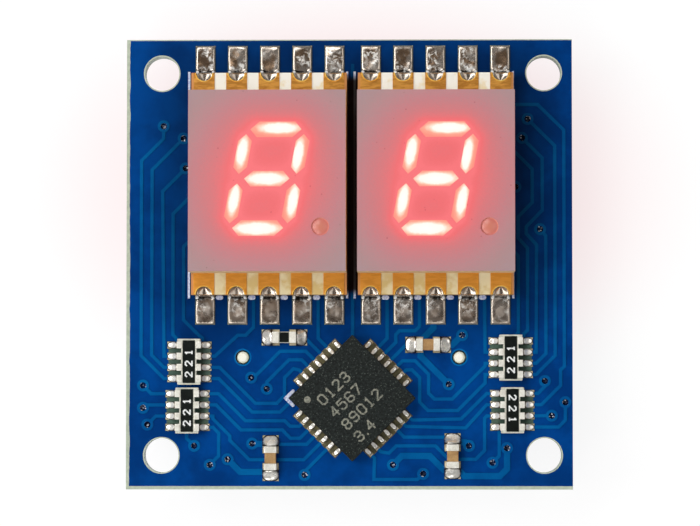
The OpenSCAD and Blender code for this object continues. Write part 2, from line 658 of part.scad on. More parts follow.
module driver_body() color([0.13, 0.16, 0.15]) difference() {
    translate([driver_at.x, driver_at.y, seat_z]) rotate(driver_turn)
        block([0, 0, 0], [driver_w, driver_w, driver_h]);
    at_driver_terminals(seat_z) driver_terminal(driver_terminal_t);
    thermal_block(seat_z, driver_terminal_t);
}
module driver_terminals() color([0.75, 0.75, 0.74])
    at_driver_terminals(seat_z) driver_terminal(driver_terminal_t);
module driver_thermal_pad() color([0.75, 0.75, 0.74]) thermal_block(seat_z, driver_terminal_t);
module driver_solder() color([0.8, 0.8, 0.78])
    at_driver_terminals(seat_z) fillet(driver_terminal_w, driver_pad_out, driver_solder_h);

// Resistor arrays: a ceramic body with folded terminals on both long sides
module at_array(k) translate([arrays[k].x, arrays[k].y, seat_z]) children();
module array_block() block([0, 0, band_t], [array_w, array_l, array_h]);
module array_body(k) color([0.82, 0.83, 0.76]) at_array(k) difference() {
    array_block();
    for (side = [L, R], i = [0:array_count - 2])
        block([side * array_w / 2, ((array_count - 2) / 2 - i) * array_pitch, band_t - over],
              [2 * array_notch, array_pitch - array_terminal_w, array_h + 2 * over]);
}
module array_overcoat(k) color([0.08, 0.1, 0.09]) at_array(k)
    block([0, 0, band_t + array_h],
          [array_w - 2 * array_fold - 2 * overcoat_gap, array_l - 2 * overcoat_back, overcoat_t]);
module array_terminals(k) color([0.8, 0.8, 0.78]) at_array(k) difference() {
    for (side = [L, R], i = [0:array_count - 1])
        block([side * (array_w - array_fold + band_t) / 2, ((array_count - 1) / 2 - i) * array_pitch, 0],
              [array_fold + band_t, array_terminal_w, array_h + 2 * band_t]);
    array_block();
}
module array_solder() color([0.8, 0.8, 0.78])
    for (k = [0:3], turn = [0, 180], i = [0:array_count - 1])
        at_array(k) rotate(turn)
            translate([array_w / 2 + band_t, ((array_count - 1) / 2 - i) * array_pitch, 0])
                fillet(array_terminal_w, array_span / 2 - array_w / 2 - band_t, array_solder_h);

// Chip resistor and capacitors: a body with metal on both ends
module at_part(part) translate([part[0].x, part[0].y, seat_z]) rotate(part[1]) children();
module chip_block(h) block([0, 0, band_t], [chip_l, chip_w, h]);
module end_metal(h, side_t) difference() {
    for (end = [-1, 1])
        block([end * (chip_l - band_l + band_t) / 2, 0, 0],
              [band_l + band_t, chip_w + 2 * side_t, h + 2 * band_t]);
    chip_block(h);
}
module chip_resistor_body() color([0.85, 0.85, 0.8]) at_part(resistor_place) chip_block(resistor_h);
module chip_resistor_overcoat() color([0.08, 0.08, 0.08]) at_part(resistor_place)
    block([0, 0, band_t + resistor_h],
          [chip_l - 2 * band_l - 2 * overcoat_gap, chip_w - 2 * overcoat_gap, overcoat_t]);
module chip_resistor_terminations() color([0.8, 0.8, 0.78]) at_part(resistor_place) end_metal(resistor_h, 0);
module capacitor_body(k) color([0.65, 0.5, 0.3]) at_part(capacitors[k]) chip_block(capacitor_h);
module capacitor_end_caps(k) color([0.8, 0.8, 0.78]) at_part(capacitors[k]) end_metal(capacitor_h, band_t);
module passive_solder() color([0.8, 0.8, 0.78])
    for (part = chip_parts, turn = [0, 180])
        at_part(part) rotate(turn)
            translate([chip_l / 2 + band_t, 0, 0])
                fillet(chip_pad_w, chip_pad_span / 2 - chip_l / 2 - band_t, chip_solder_h);

// A locating peg with a sloped tip
module peg(h) {
    cylinder(d = peg_d, h = h - peg_tip);
    translate([0, 0, h - peg_tip]) cylinder(d1 = peg_d, d2 = peg_d - 2 * peg_tip, h = peg_tip);
}

// Connector on the underside: a shroud with a tongue inside and two locating pegs
module connector_housing() color([0.94, 0.92, 0.84]) translate([connector_at.x, connector_at.y, 0]) {
    cavity = [connector_l - 2 * connector_end_t, connector_w - 2 * connector_side_t,
              connector_h - connector_web_t];
    tongue = [cavity.x - 2 * tongue_gap, tongue_w, cavity.z - tongue_back];
    difference() {
        block([0, 0, connector_top - connector_h], [connector_l, connector_w, connector_h]);
        difference() {
            block([0, 0, connector_top - connector_h - over], [cavity.x, cavity.y, cavity.z + over]);
            block([0, 0, connector_top - connector_web_t - tongue.z], [tongue.x, tongue.y, tongue.z + over]);
        }
        translate([-connector_at.x, -connector_at.y, 0]) at_contacts()
            block([0, (tongue_w + contact_t) / 2, connector_top - connector_web_t - over],
                  [contact_w, contact_t, connector_web_t + 2 * over]);
    }
    for (x = [-1, 1])
        translate([x * peg_spacing / 2, 0, connector_top])
            peg(board_t - peg_back - connector_top);
}

module connector_contacts() color([0.85, 0.7, 0.4]) at_contacts() {
    blade_l = connector_h - tongue_back - blade_back;
    block([0, (tongue_w + contact_t) / 2, connector_top - blade_l],
          [contact_w, contact_t, blade_l + contact_t]);
    foot_l = (connector_w - tongue_w) / 2 + foot_out;
    block([0, tongue_w / 2 + foot_l / 2, connector_top], [contact_w, foot_l, contact_t]);
}

circuit_board();
copper_traces();
vias();
bare_pads();
legend_marks();
for (s = [0, 1]) {
    substrate(2 * s - 1);
    terminals(2 * s - 1);
    housing(2 * s - 1);
    led_dice(2 * s - 1);
    display_solder(2 * s - 1);
    decimal_point(2 * s - 1);
    for (k = [0:6])
        segment(2 * s - 1, k);
}
driver_body();
driver_terminals();
driver_thermal_pad();
driver_solder();
for (k = [0:3]) {
    array_body(k);
    array_overcoat(k);
    array_terminals(k);
}
array_solder();
chip_resistor_body();
chip_resistor_overcoat();
chip_resistor_terminations();
for (k = [0:2]) {
    capacitor_body(k);
    capacitor_end_caps(k);
}
passive_solder();
connector_housing();
connector_contacts();
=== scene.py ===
"""Looks of a two digit seven segment display module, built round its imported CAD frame.

Lengths are in millimetres here and become metres in the meshes. X runs to the right as the
digits are read, Y towards their tops, Z towards the reader, as in the frame.
"""
import json
import math

import bmesh
import bpy
import numpy as np
from mathutils import Matrix, Vector


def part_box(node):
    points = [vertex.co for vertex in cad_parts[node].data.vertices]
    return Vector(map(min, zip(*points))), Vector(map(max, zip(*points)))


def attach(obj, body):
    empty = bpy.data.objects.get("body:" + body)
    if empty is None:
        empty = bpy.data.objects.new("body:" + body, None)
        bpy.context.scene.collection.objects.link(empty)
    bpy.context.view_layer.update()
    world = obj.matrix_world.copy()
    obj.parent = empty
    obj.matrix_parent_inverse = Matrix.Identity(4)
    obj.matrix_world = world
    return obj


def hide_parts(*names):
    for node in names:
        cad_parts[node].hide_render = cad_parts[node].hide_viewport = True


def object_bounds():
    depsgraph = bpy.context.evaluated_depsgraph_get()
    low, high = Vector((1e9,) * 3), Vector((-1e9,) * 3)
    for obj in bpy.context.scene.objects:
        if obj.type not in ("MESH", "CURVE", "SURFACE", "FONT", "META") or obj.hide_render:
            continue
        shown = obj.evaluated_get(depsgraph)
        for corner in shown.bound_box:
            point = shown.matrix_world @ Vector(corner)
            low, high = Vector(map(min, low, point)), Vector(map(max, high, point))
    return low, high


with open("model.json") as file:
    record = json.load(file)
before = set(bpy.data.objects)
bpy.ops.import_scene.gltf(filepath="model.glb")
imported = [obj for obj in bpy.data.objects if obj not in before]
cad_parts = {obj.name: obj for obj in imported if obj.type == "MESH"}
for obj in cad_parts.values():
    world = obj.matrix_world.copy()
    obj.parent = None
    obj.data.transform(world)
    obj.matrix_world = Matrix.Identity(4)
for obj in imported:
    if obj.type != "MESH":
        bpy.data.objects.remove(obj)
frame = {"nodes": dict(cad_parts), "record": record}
cad_lo, cad_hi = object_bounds()
nodes = frame["nodes"]

MM = 0.001
SIDES = ("left", "right")


def span(node):
    """Lowest and highest corner of a CAD node, in millimetres."""
    lo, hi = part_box(node)
    return np.array(lo) / MM, np.array(hi) / MM


def middle(node):
    """Middle of a CAD node's box, in millimetres."""
    lo, hi = span(node)
    return (lo + hi) / 2


# Sizes read from the frame
board_lo, board_hi = span("circuit_board")
board_top = board_hi[2]
pad_top = span("bare_pads")[1][2]
face_z = span("left_housing")[1][2]
ledge_z = span("left_terminals")[1][2]
driver_mid = middle("driver_body")
driver_top = span("driver_body")[1][2]
display_mid = {side: middle(f"{side}_substrate") for side in SIDES}
display_end = span("left_substrate")[1][1] - display_mid["left"][1]
display_half = span("left_substrate")[1][0] - display_mid["left"][0]

# Sizes that the frame's boxes don't give
HOLE_AT = 8.575
HOLE_R = 0.775
PEG_AT = 4.85
PEG_RING_R = 0.39
TERMINALS = 5
TERMINAL_PITCH = 1.45
NOTCH_R = 0.365
BROWN_EDGE = 0.11
DISPLAY_PAD = (1.3, 0.86)
DRIVER_HALF = 2.0
DRIVER_TERMINALS = 7
DRIVER_PITCH = 0.4
DRIVER_TURN = 45
ARRAYS = (1, 2, 3, 4)
ARRAY_ROWS = 4
ARRAY_PITCH = 0.5
ARRAY_FACE = 0.545
CHIP_FACE = 0.53
SLANT = math.radians(10.5)
DIGIT_LIFT = 0.07
DIGIT_H = 4.35
DIGIT_W = 2.54
LEVEL_T = 0.68
UPRIGHT_T = 0.6
LEVEL_HALF = 1.12
MIDDLE_HALF = 1.0
UPRIGHT_HALF = 0.89
POINT_AT = (2.35, -2.04)
POINT_R = 0.39

# Widths, reaches and shares of what shows on the surfaces
GAP_FADE = 0.3
# Reach and depth of the painted shade on the mask round the displays
SHADE_REACH = 3.2
SHADE_MOST = 0.52
LEFT_STRIP = 0.15
TOP_STRIP = 0.045
LOWER_STRIP = 0.15
HOLE_STRIP = 0.05
LOWER_PADS = (-3.0, -1.0)
# Where the painted shadow band along the displays' ends starts and stops, and how it fades with height
SHADOW_BAND_FROM = (0.0, 0.05)
SHADOW_BAND_TO = (0.13, 0.2)
SHADOW_BAND_LOW = 0.3
SHADOW_BAND_HIGH = 0.55
GLOW_NEAR, GLOW_FAR = 0.2, 3.0
GLOW_FAR_SHARE = 0.5
GLOW_FULL = 3.0
CORE_FULL = 2.0


def srgb(r, g, b):
    """A colour given in 0 to 255 screen values, as linear RGBA."""
    def linear(c):
        c /= 255
        return c / 12.92 if c <= 0.04045 else ((c + 0.055) / 1.055) ** 2.4
    return linear(r), linear(g), linear(b), 1.0


# Shader nodes
class Tree:
    """Adds shader nodes to a tree. A value may be a socket or a constant."""

    def __init__(self, tree):
        self.tree = tree

    def put(self, socket, value):
        """Links a value to a socket, or sets it there when it is a constant."""
        if isinstance(value, bpy.types.NodeSocket):
            self.tree.links.new(value, socket)
        else:
            socket.default_value = value

    def add(self, kind, values=(), **settings):
        """A node with its settings, and its inputs in their order or by name."""
        node = self.tree.nodes.new("ShaderNode" + kind)
        for key, value in settings.items():
            setattr(node, key, value)
        pairs = values.items() if isinstance(values, dict) else enumerate(values)
        for key, value in pairs:
            self.put(node.inputs[key], value)
        return node

    def group(self, made, place, **values):
        """The outputs of a node group at a place, with its other inputs by name."""
        return self.add("Group", {"Place": place, **values}, node_tree=made).outputs

    def math(self, operation, *values, clamp=False):
        return self.add("Math", values, operation=operation, use_clamp=clamp).outputs[0]

    def plus(self, a, b, clamp=False):
        return self.math("ADD", a, b, clamp=clamp)

    def minus(self, a, b):
        return self.math("SUBTRACT", a, b)

    def times(self, a, b):
        return self.math("MULTIPLY", a, b)

    def unsigned(self, value):
        return self.math("ABSOLUTE", value)

    def vector(self, operation, *values):
        node = self.add("VectorMath", values, operation=operation)
        return node.outputs["Value" if operation in ("DOT_PRODUCT", "LENGTH") else "Vector"]

    def flat(self, x, y):
        return self.add("CombineXYZ", (x, y, 0.0)).outputs[0]

    def flat_length(self, x, y):
        return self.vector("LENGTH", self.flat(x, y))

    def place(self):
        """Object coordinates in millimetres."""
        at = self.add("TexCoord").outputs["Object"]
        return self.vector("MULTIPLY", at, (1 / MM,) * 3)

    def split(self, vector):
        return self.add("SeparateXYZ", (vector,)).outputs

    def facing_up(self):
        """1 on faces that look up or down, 0 on side walls."""
        normal = self.split(self.add("NewGeometry").outputs["Normal"])
        return self.math("GREATER_THAN", self.unsigned(normal[2]), 0.5)

    def noise(self, place, scale, detail=3.0, rough=0.55, warp=0.0):
        return self.add("TexNoise", {"Vector": place, "Scale": scale, "Detail": detail,
                                     "Roughness": rough, "Distortion": warp}).outputs[0]

    def painted(self, name):
        """A value that the mesh holds at each point."""
        return self.add("Attribute", attribute_name=name).outputs["Fac"]

    def spots(self, place, scale):
        """Distance to the nearest point of a random scatter."""
        return self.add("TexVoronoi", {"Vector": place, "Scale": scale}).outputs["Distance"]

    def fit(self, value, lo, hi, to_lo=0.0, to_hi=1.0):
        """Maps lo..hi smoothly to to_lo..to_hi, clamped."""
        return self.add("MapRange", (value, lo, hi, to_lo, to_hi),
                        interpolation_type="SMOOTHSTEP").outputs[0]

    def mix(self, factor, a, b):
        """Colour a where the factor is 0, b where it is 1."""
        return self.add("Mix", {0: factor, 6: a, 7: b}, data_type="RGBA").outputs[2]

    def ramp(self, value, stops):
        """The colour at a value, from stops of a place and a colour each."""
        node = self.add("ValToRGB", (value,))
        items = node.color_ramp.elements
        while len(items) < len(stops):
            items.new(1.0)
        for item, (at, colour) in zip(items, stops):
            item.position, item.color = at, colour
        return node.outputs[0]

    def bump(self, height, depth):
        """Bump of a height of 0 to 1 over a depth in millimetres."""
        return self.add("Bump", {"Strength": 1.0, "Distance": depth * MM, "Height": height}).outputs[0]


def material(name, build):
    """A material that shows the shader that build(tree) returns."""
    made = bpy.data.materials.new(name)
    made.use_nodes = True
    made.node_tree.nodes.clear()
    tree = Tree(made.node_tree)
    tree.add("OutputMaterial", (build(tree),))
    return made


def surface(name, look):
    """A material whose principled shader gets the inputs that look(tree, place) returns."""
    return material(name, lambda t: t.add("BsdfPrincipled", look(t, t.place())).outputs[0])


def node_group(name, build, inputs, outputs):
    """A group whose outputs get, in their order, the values that build(tree, inputs) returns.

    inputs and outputs give each socket's kind by its name. Every group's first input is the
    place in millimetres.
    """
    made = bpy.data.node_groups.new(name, "ShaderNodeTree")
    for way, sockets in (("INPUT", {"Place": "Vector", **inputs}), ("OUTPUT", outputs)):
        for label, kind in sockets.items():
            made.interface.new_socket(label, in_out=way, socket_type="NodeSocket" + kind)
    tree = Tree(made)
    values = build(tree, made.nodes.new("NodeGroupInput").outputs)
    sink = made.nodes.new("NodeGroupOutput")
    for socket, value in zip(sink.inputs, values):
        tree.put(socket, value)
    return made


# Effects that several materials share
# Mask colour under the painted shade close to the displays
MASK_SHADED = srgb(0, 8, 22)
# Painted shadow, tinted red, in the narrow gap between the displays
GAP_SHADOW = srgb(26, 8, 8)


def by_displays(t, inputs):
    """How much painted shade darkens the mask by the displays, and 1 in the narrow gap between them.

    A painted shadow hides the board in that gap. Both are 0 on the underside.
    """
    x, y, z = t.split(inputs["Place"])
    mid = display_mid["right"]
    top = t.math("GREATER_THAN", z, board_top / 2)
    from_mid = t.unsigned(t.minus(y, mid[1]))
    past_x = t.math("MAXIMUM", t.minus(t.unsigned(x), mid[0] + display_half), 0.0)
    past_y = t.math("MAXIMUM", t.minus(from_mid, display_end), 0.0)
    # Painted shade: strongest beside the displays, fading further away
    thick = t.fit(t.flat_length(past_x, past_y), 0.0, SHADE_REACH, SHADE_MOST, 0.0)
    # The gap's painted shadow, fading out past the displays' ends
    beside = t.math("LESS_THAN", t.unsigned(x), mid[0] - display_half)
    along = t.fit(from_mid, display_end - GAP_FADE, display_end, 1.0, 0.0)
    return t.times(thick, top), t.times(t.times(beside, top), along)


def mask_ink(t, inputs):
    """Mask ink in clouds from dark to light, with painted shade by the displays and painted shadow in the
    gap.
    """
    cloud = t.noise(inputs["Place"], 0.45, 4.0, 0.6)
    grain = t.noise(inputs["Place"], 14.0, 2.0, 0.6)
    colour = t.mix(t.fit(cloud, 0.35, 0.65), inputs["Dark"], inputs["Light"])
    # Painted shade by the displays, then painted shadow in the gap between them
    colour = t.mix(inputs["Thick"], colour, MASK_SHADED)
    colour = t.mix(inputs["Gap"], colour, GAP_SHADOW)
    return colour, t.fit(grain, 0.3, 0.7, 0.16, 0.24), t.bump(grain, 0.002)


def clouded(t, inputs):
    """Slow clouds with a fine grain over them, and that grain alone, nine times as fine."""
    cloud = t.noise(inputs["Place"], inputs["Scale"], 4.0, 0.6, 0.3)
    grain = t.noise(inputs["Place"], t.times(inputs["Scale"], 9.0), 3.0, 0.6)
    return t.plus(t.times(cloud, 0.6), t.times(grain, 0.4)), grain


def specks(t, inputs):
    """Specks at a random scatter, strongest within Core and gone at Edge, where slow patches let them."""
    near = t.fit(t.spots(inputs["Place"], inputs["Scale"]), inputs["Core"], inputs["Edge"],
                 inputs["Most"], 0.0)
    patch = t.fit(t.noise(inputs["Place"], inputs["Patches"]), inputs["From"], inputs["To"])
    return (t.times(near, patch),)


def solder_skin(t, inputs):
    """Solder from bright to dull in patches that flux adds to, and a painted rim colour as Ring nears 1."""
    wave = t.noise(inputs["Place"], 1.8, 1.0, 0.4, 0.6)
    cloud = t.noise(inputs["Place"], 2.2, 2.0, 0.5, 0.5)
    grain = t.noise(inputs["Place"], 12.0, 3.0, 0.6, 0.4)
    border = t.plus(inputs["Ring"], t.fit(grain, 0.3, 0.7, -0.08, 0.08))
    patch = t.plus(t.fit(cloud, 0.3, 0.8), inputs["Flux"], clamp=True)
    rough = t.plus(t.times(patch, 0.2), t.fit(grain, 0.3, 0.7, 0.12, 0.18))
    stained = t.mix(t.fit(cloud, 0.3, 0.7), inputs["Dull"], inputs["Bright"])
    colour = t.mix(patch, inputs["Bright"], stained)
    # Rim colour: painted light along the joint's border
    colour = t.mix(t.fit(border, 0.68, 1.0), colour, inputs["Rim"])
    height = t.plus(t.times(wave, 0.98), t.times(grain, 0.02))
    return colour, rough, t.bump(height, 0.03), patch, border, cloud


def rubbed_gold(t, inputs):
    """Plated gold from dark to light in streaks that run along X."""
    streak = t.noise(t.vector("MULTIPLY", inputs["Place"], (1.0, 4.0, 1.0)), 1.6, 4.0, 0.6, 0.4)
    grain = t.noise(inputs["Place"], 22.0)
    colour = t.mix(t.fit(streak, 0.38, 0.62), inputs["Dark"], inputs["Light"])
    return colour, t.fit(grain, 0.3, 0.7, 0.34, 0.5), t.bump(grain, 0.003)


def digit_bars():
    """Segments a to g as (middle x, middle y, direction, half length, thickness, core).

    A core is its shift from the middle in x and y, and its share of the length and thickness.

    The digit leans: a point at height y moves y tan(slant) to the right. Directions are unit
    vectors, (1, 0) for level bars and (sin slant, cos slant) for uprights.
    """
    level, upright = (1.0, 0.0), (math.sin(SLANT), math.cos(SLANT))
    spots = ((0, 2, level, LEVEL_HALF, (0.15, 0.06, 0.78, 0.68)),
             (1, 1, upright, UPRIGHT_HALF, (-0.1, -0.05, 0.8, 0.72)),
             (1, -1, upright, UPRIGHT_HALF, (0.08, 0.12, 0.76, 0.72)),
             (0, -2, level, LEVEL_HALF, (-0.03, -0.02, 0.88, 0.8)),
             (-1, -1, upright, UPRIGHT_HALF, (0.02, 0.15, 0.76, 0.72)),
             (-1, 1, upright, UPRIGHT_HALF, (-0.02, 0.1, 0.74, 0.75)),
             (0, 0, level, MIDDLE_HALF, (0.0, 0.0, 0.88, 0.8)))
    bars = []
    for column, row, along, half, core in spots:
        y = row * DIGIT_H / 4
        x = column * DIGIT_W / 2 + y * math.tan(SLANT)
        thick = LEVEL_T if along is level else UPRIGHT_T
        bars.append((x, y + DIGIT_LIFT, along, half, thick, core))
    return bars


def from_display(t, place):
    """A place's X and Y from the middle of the display on its side of the board."""
    x, y, _ = t.split(place)
    mid = display_mid["right"]
    return t.minus(x, t.times(t.math("SIGN", x), mid[0])), t.minus(y, mid[1])


def digit_field(t, inputs):
    """The glow of the lit segments round them, and the distance from the middle of their light.

    For a bar with middle m, direction u, half length h and thickness w, along is |(p - m).u| and
    across is (p - m).v, with v square to u. The gap to the bar is the length of
    (max(along - h + w/2, 0), across) less w/2, and not below 0. Glow is the sum of
    exp(-gap/near) + share exp(-gap/far) over the seven bars. Core is the radius at which p lies
    in a bar's ellipse of light, 1 on its border, and the least over the bars.
    """
    local = t.flat(*from_display(t, inputs["Place"]))
    glow = core = None
    for mx, my, (ux, uy), half, thick, (sx, sy, share_l, share_t) in digit_bars():
        away = t.vector("SUBTRACT", local, (mx, my, 0.0))
        along = t.unsigned(t.vector("DOT_PRODUCT", away, (ux, uy, 0.0)))
        across = t.vector("DOT_PRODUCT", away, (-uy, ux, 0.0))
        past = t.math("MAXIMUM", t.minus(along, half - thick / 2), 0.0)
        gap = t.math("MAXIMUM", t.minus(t.flat_length(past, across), thick / 2), 0.0)
        near, far = (t.math("EXPONENT", t.math("DIVIDE", gap, -reach)) for reach in (GLOW_NEAR, GLOW_FAR))
        light = t.plus(near, t.times(far, GLOW_FAR_SHARE))
        inner = t.vector("SUBTRACT", local, (mx + sx, my + sy, 0.0))
        inner_along = t.vector("DOT_PRODUCT", inner, (ux, uy, 0.0))
        inner_across = t.vector("DOT_PRODUCT", inner, (-uy, ux, 0.0))
        radius = t.flat_length(t.math("DIVIDE", inner_along, half * share_l),
                               t.math("DIVIDE", inner_across, thick / 2 * share_t))
        glow = light if glow is None else t.plus(glow, light)
        core = radius if core is None else t.math("MINIMUM", core, radius)
    return glow, core


DARK_TO_LIGHT = {"Dark": "Color", "Light": "Color"}
SKIN = {"Color": "Color", "Roughness": "Float", "Normal": "Vector"}
BY_DISPLAYS = node_group("by_displays", by_displays, {}, {"Thick": "Float", "Gap": "Float"})
MASK_INK = node_group("mask_ink", mask_ink, {"Thick": "Float", "Gap": "Float", **DARK_TO_LIGHT}, SKIN)
CLOUDED = node_group("clouded", clouded, {"Scale": "Float"}, {"Both": "Float", "Grain": "Float"})
SPECKS = node_group("specks", specks,
                    dict.fromkeys(("Scale", "Core", "Edge", "Most", "Patches", "From", "To"), "Float"),
                    {"Specks": "Float"})
SOLDER_SKIN = node_group("solder_skin", solder_skin,
                         {"Ring": "Float", "Flux": "Float", "Bright": "Color", "Dull": "Color",
                          "Rim": "Color"},
                         {**SKIN, "Patch": "Float", "Border": "Float", "Cloud": "Float"})
RUBBED_GOLD = node_group("rubbed_gold", rubbed_gold, DARK_TO_LIGHT, SKIN)
DIGIT_FIELD = node_group("digit_field", digit_field, {}, {"Glow": "Float", "Core": "Float"})


# Materials
def masked(t, p, dark, light):
    """Inputs of a surface under the blue mask."""
    # Painted shade by the displays and painted shadow in the gap between them
    near = t.group(BY_DISPLAYS, p)
    ink = t.group(MASK_INK, p, Thick=near["Thick"], Gap=near["Gap"], Dark=dark, Light=light)
    return {"Base Color": ink["Color"], "Roughness": ink["Roughness"], "Specular IOR Level": 0.16,
            "Normal": ink["Normal"]}


def near_hole(t, x, y, at_x, at_y):
    """Distance to the nearer of (at_x, at_y) and (-at_x, at_y)."""
    return t.flat_length(t.minus(t.unsigned(x), at_x), t.minus(y, at_y))


def board_look(t, p):
    """Blue mask, laminate on the cut edges, in strips along the outline and round the holes."""
    inputs = masked(t, p, srgb(0, 52, 116), srgb(0, 67, 141))
    x, y, _ = t.split(p)
    wander = t.fit(t.noise(p, 1.3), 0.3, 0.7, -0.02, 0.02)
    hole = near_hole(t, x, t.unsigned(y), HOLE_AT, HOLE_AT)
    bare = t.math("LESS_THAN", t.plus(x, wander), board_lo[0] + LEFT_STRIP)
    for strip in (t.math("GREATER_THAN", y, board_hi[1] - TOP_STRIP),
                  t.math("LESS_THAN", y, board_lo[1] + LOWER_STRIP),
                  t.math("LESS_THAN", hole, HOLE_R + HOLE_STRIP),
                  t.minus(1.0, t.facing_up())):
        bare = t.math("MAXIMUM", bare, strip)
    weave = t.noise(t.vector("MULTIPLY", p, (1.0, 1.0, 9.0)), 5.0, 4.0, 0.7)
    fibre = t.mix(weave, srgb(146, 158, 136), srgb(214, 222, 204))
    pegs_x, pegs_y, _ = middle("connector_housing")
    ring = t.math("LESS_THAN", near_hole(t, t.minus(x, pegs_x), y, PEG_AT, pegs_y), PEG_RING_R)
    inputs["Base Color"] = t.mix(bare, t.mix(ring, inputs["Base Color"], srgb(4, 98, 160)), fibre)
    return inputs


def trace_look(t, p):
    """Mask over copper, paler than over the laminate."""
    return masked(t, p, srgb(1, 80, 140), srgb(2, 96, 158))


def via_look(t, p):
    """Mask on the rings, copper in the barrels."""
    inputs = masked(t, p, srgb(2, 78, 140), srgb(3, 98, 160))
    inputs["Base Color"] = t.mix(t.facing_up(), srgb(70, 60, 60), inputs["Base Color"])
    return inputs


def plug_look(t, p):
    """Dark mask ink sunk in a hole, with a few pale specks painted on as glints."""
    inputs = masked(t, p, srgb(2, 14, 48), srgb(6, 34, 84))
    # Pale specks: painted glints on the ink
    via_glints = t.group(SPECKS, p, Scale=9.0, Core=0.22, Edge=0.4, Most=1.0, Patches=6.0, From=0.36, To=0.46)
    inputs["Base Color"] = t.mix(via_glints["Specks"], inputs["Base Color"], srgb(228, 236, 252))
    return inputs


def plain_look(dark, light, scale, rough, depth=0.0, metal=0.0, **more):
    """A clouded, grained surface. rough gives the roughness's range over the grain."""
    def build(t, p):
        cloud = t.group(CLOUDED, p, Scale=scale)
        inputs = {"Base Color": t.mix(t.fit(cloud["Both"], 0.36, 0.64), dark, light),
                  "Metallic": metal, "Roughness": t.fit(cloud["Grain"], 0.3, 0.7, *rough)}
        if depth:
            inputs["Normal"] = t.bump(cloud["Both"], depth)
        inputs.update(more)
        return inputs
    return build


def laminate_look(t, p):
    """Cream laminate with stain patches, darker and yellower on the lower half, brown at its sides, with
    layers on its walls.
    """
    x, y, _ = t.split(p)
    weave = t.noise(t.vector("MULTIPLY", p, (2.0, 2.0, 12.0)), 3.0, 4.0, 0.65)
    side = t.mix(weave, srgb(150, 104, 62), srgb(206, 170, 112))
    stain = t.noise(p, 1.7, 3.0, 0.5)
    upper = t.mix(t.fit(stain, 0.55, 0.72), srgb(255, 255, 248), srgb(244, 230, 190))
    lower = t.mix(t.fit(stain, 0.4, 0.6), srgb(232, 218, 176), srgb(216, 190, 126))
    top = t.mix(t.fit(y, -1.0, 1.0), lower, upper)
    from_mid = t.unsigned(t.minus(t.unsigned(x), display_mid["right"][0]))
    outer = t.math("GREATER_THAN", from_mid, display_half - BROWN_EDGE)
    top = t.mix(outer, top, srgb(206, 140, 78))
    return {"Base Color": t.mix(t.facing_up(), side, top), "Roughness": 0.6,
            "Normal": t.bump(weave, 0.004)}


def flux_stains_and_painted_light(t, p, skin, below):
    """The colour of the displays' joints under their flux, and the share of painted white glints.

    Below the displays the flux pools in a ring on each pad. Above them, inside the pads' borders,
    brown patches are painted dark reflections and white specks painted glints. Along both ends a
    dark ragged band on the foot of the joints is a painted shadow, fainter higher up.
    """
    _, y, z = t.split(p)
    border = skin["Border"]
    pool = t.times(t.fit(border, 0.42, 0.56), t.fit(border, 0.8, 0.92, 1.0, 0.0))
    colour = t.mix(t.times(pool, below), skin["Color"], srgb(70, 56, 44))
    inner = t.times(t.fit(y, *LOWER_PADS), t.fit(border, 0.7, 0.9, 1.0, 0.0))
    # Brown patches: painted dark reflections on the upper pads
    shade = t.fit(t.noise(p, 1.3, 2.0, 0.5, 0.6), 0.46, 0.56)
    colour = t.mix(t.times(inner, shade), colour, srgb(152, 126, 102))
    # White specks: painted glints on the upper pads
    glint_noise = t.fit(t.noise(p, 4.5, 3.0, 0.65, 0.5), 0.47, 0.62)
    pad_glints = t.times(inner, t.times(glint_noise, t.fit(t.noise(p, 0.9, 1.0), 0.44, 0.54)))
    colour = t.mix(pad_glints, colour, srgb(255, 250, 242))
    # Dark band along the displays' ends: a painted shadow, fainter higher up
    from_mid = t.unsigned(t.minus(y, display_mid["left"][1]))
    out = t.plus(t.minus(from_mid, display_end), t.fit(skin["Cloud"], 0.3, 0.7, -0.06, 0.06))
    painted_shadow_band = t.times(t.fit(out, *SHADOW_BAND_FROM), t.fit(out, *SHADOW_BAND_TO, 1.0, 0.0))
    painted_shadow_band = t.times(painted_shadow_band, t.fit(z, pad_top + SHADOW_BAND_LOW, pad_top + SHADOW_BAND_HIGH, 1.0, 0.3))
    return t.mix(painted_shadow_band, colour, srgb(34, 28, 24)), pad_glints


def solder_look(bright, dull, rim, metal, flux=0.0):
    """Bright solder with dull patches, a painted rim colour, and painted highlights on its beads, by the
    mesh's values.

    metal gives how metallic the solder is where it is bright and where it is dull. Flux dulls the
    pads below the displays by its share, and adds stains, painted glints and painted shadow to its joints.
    """
    def build(t, p):
        below = t.fit(t.split(p)[1], *LOWER_PADS, flux, 0.0)
        skin = t.group(SOLDER_SKIN, p, Ring=t.painted("ring"), Flux=below, Bright=bright, Dull=dull, Rim=rim)
        colour = skin["Color"]
        # Painted highlights: white on the beads at the notch corners
        white = t.fit(t.painted("bead_and_glint"), 0.25, 0.5)
        if flux:
            colour, pad_glints = flux_stains_and_painted_light(t, p, skin, below)
            # The painted glints also whiten the solder
            white = t.math("MAXIMUM", white, t.times(pad_glints, 0.7))
        shine = t.times(t.fit(skin["Patch"], 0.0, 1.0, *metal), t.minus(1.0, white))
        return {"Base Color": t.mix(white, colour, (1.0, 1.0, 0.97, 1)), "Roughness": skin["Roughness"],
                "Metallic": shine, "Normal": skin["Normal"]}
    return build


def moulding_look(t, p):
    """Black epoxy with pale filler grains and a rough skin."""
    grain = t.noise(p, 9.0, 4.0, 0.75)
    filler = t.group(SPECKS, p, Scale=13.0, Core=0.08, Edge=0.3, Most=1.0, Patches=9.0, From=0.4, To=0.6)
    base = t.mix(t.fit(grain, 0.38, 0.66), srgb(5, 10, 9), srgb(31, 39, 36))
    return {"Base Color": t.mix(filler["Specks"], base, srgb(104, 112, 104)), "Roughness": 0.62,
            "Specular IOR Level": 0.22, "Normal": t.bump(grain, 0.02)}


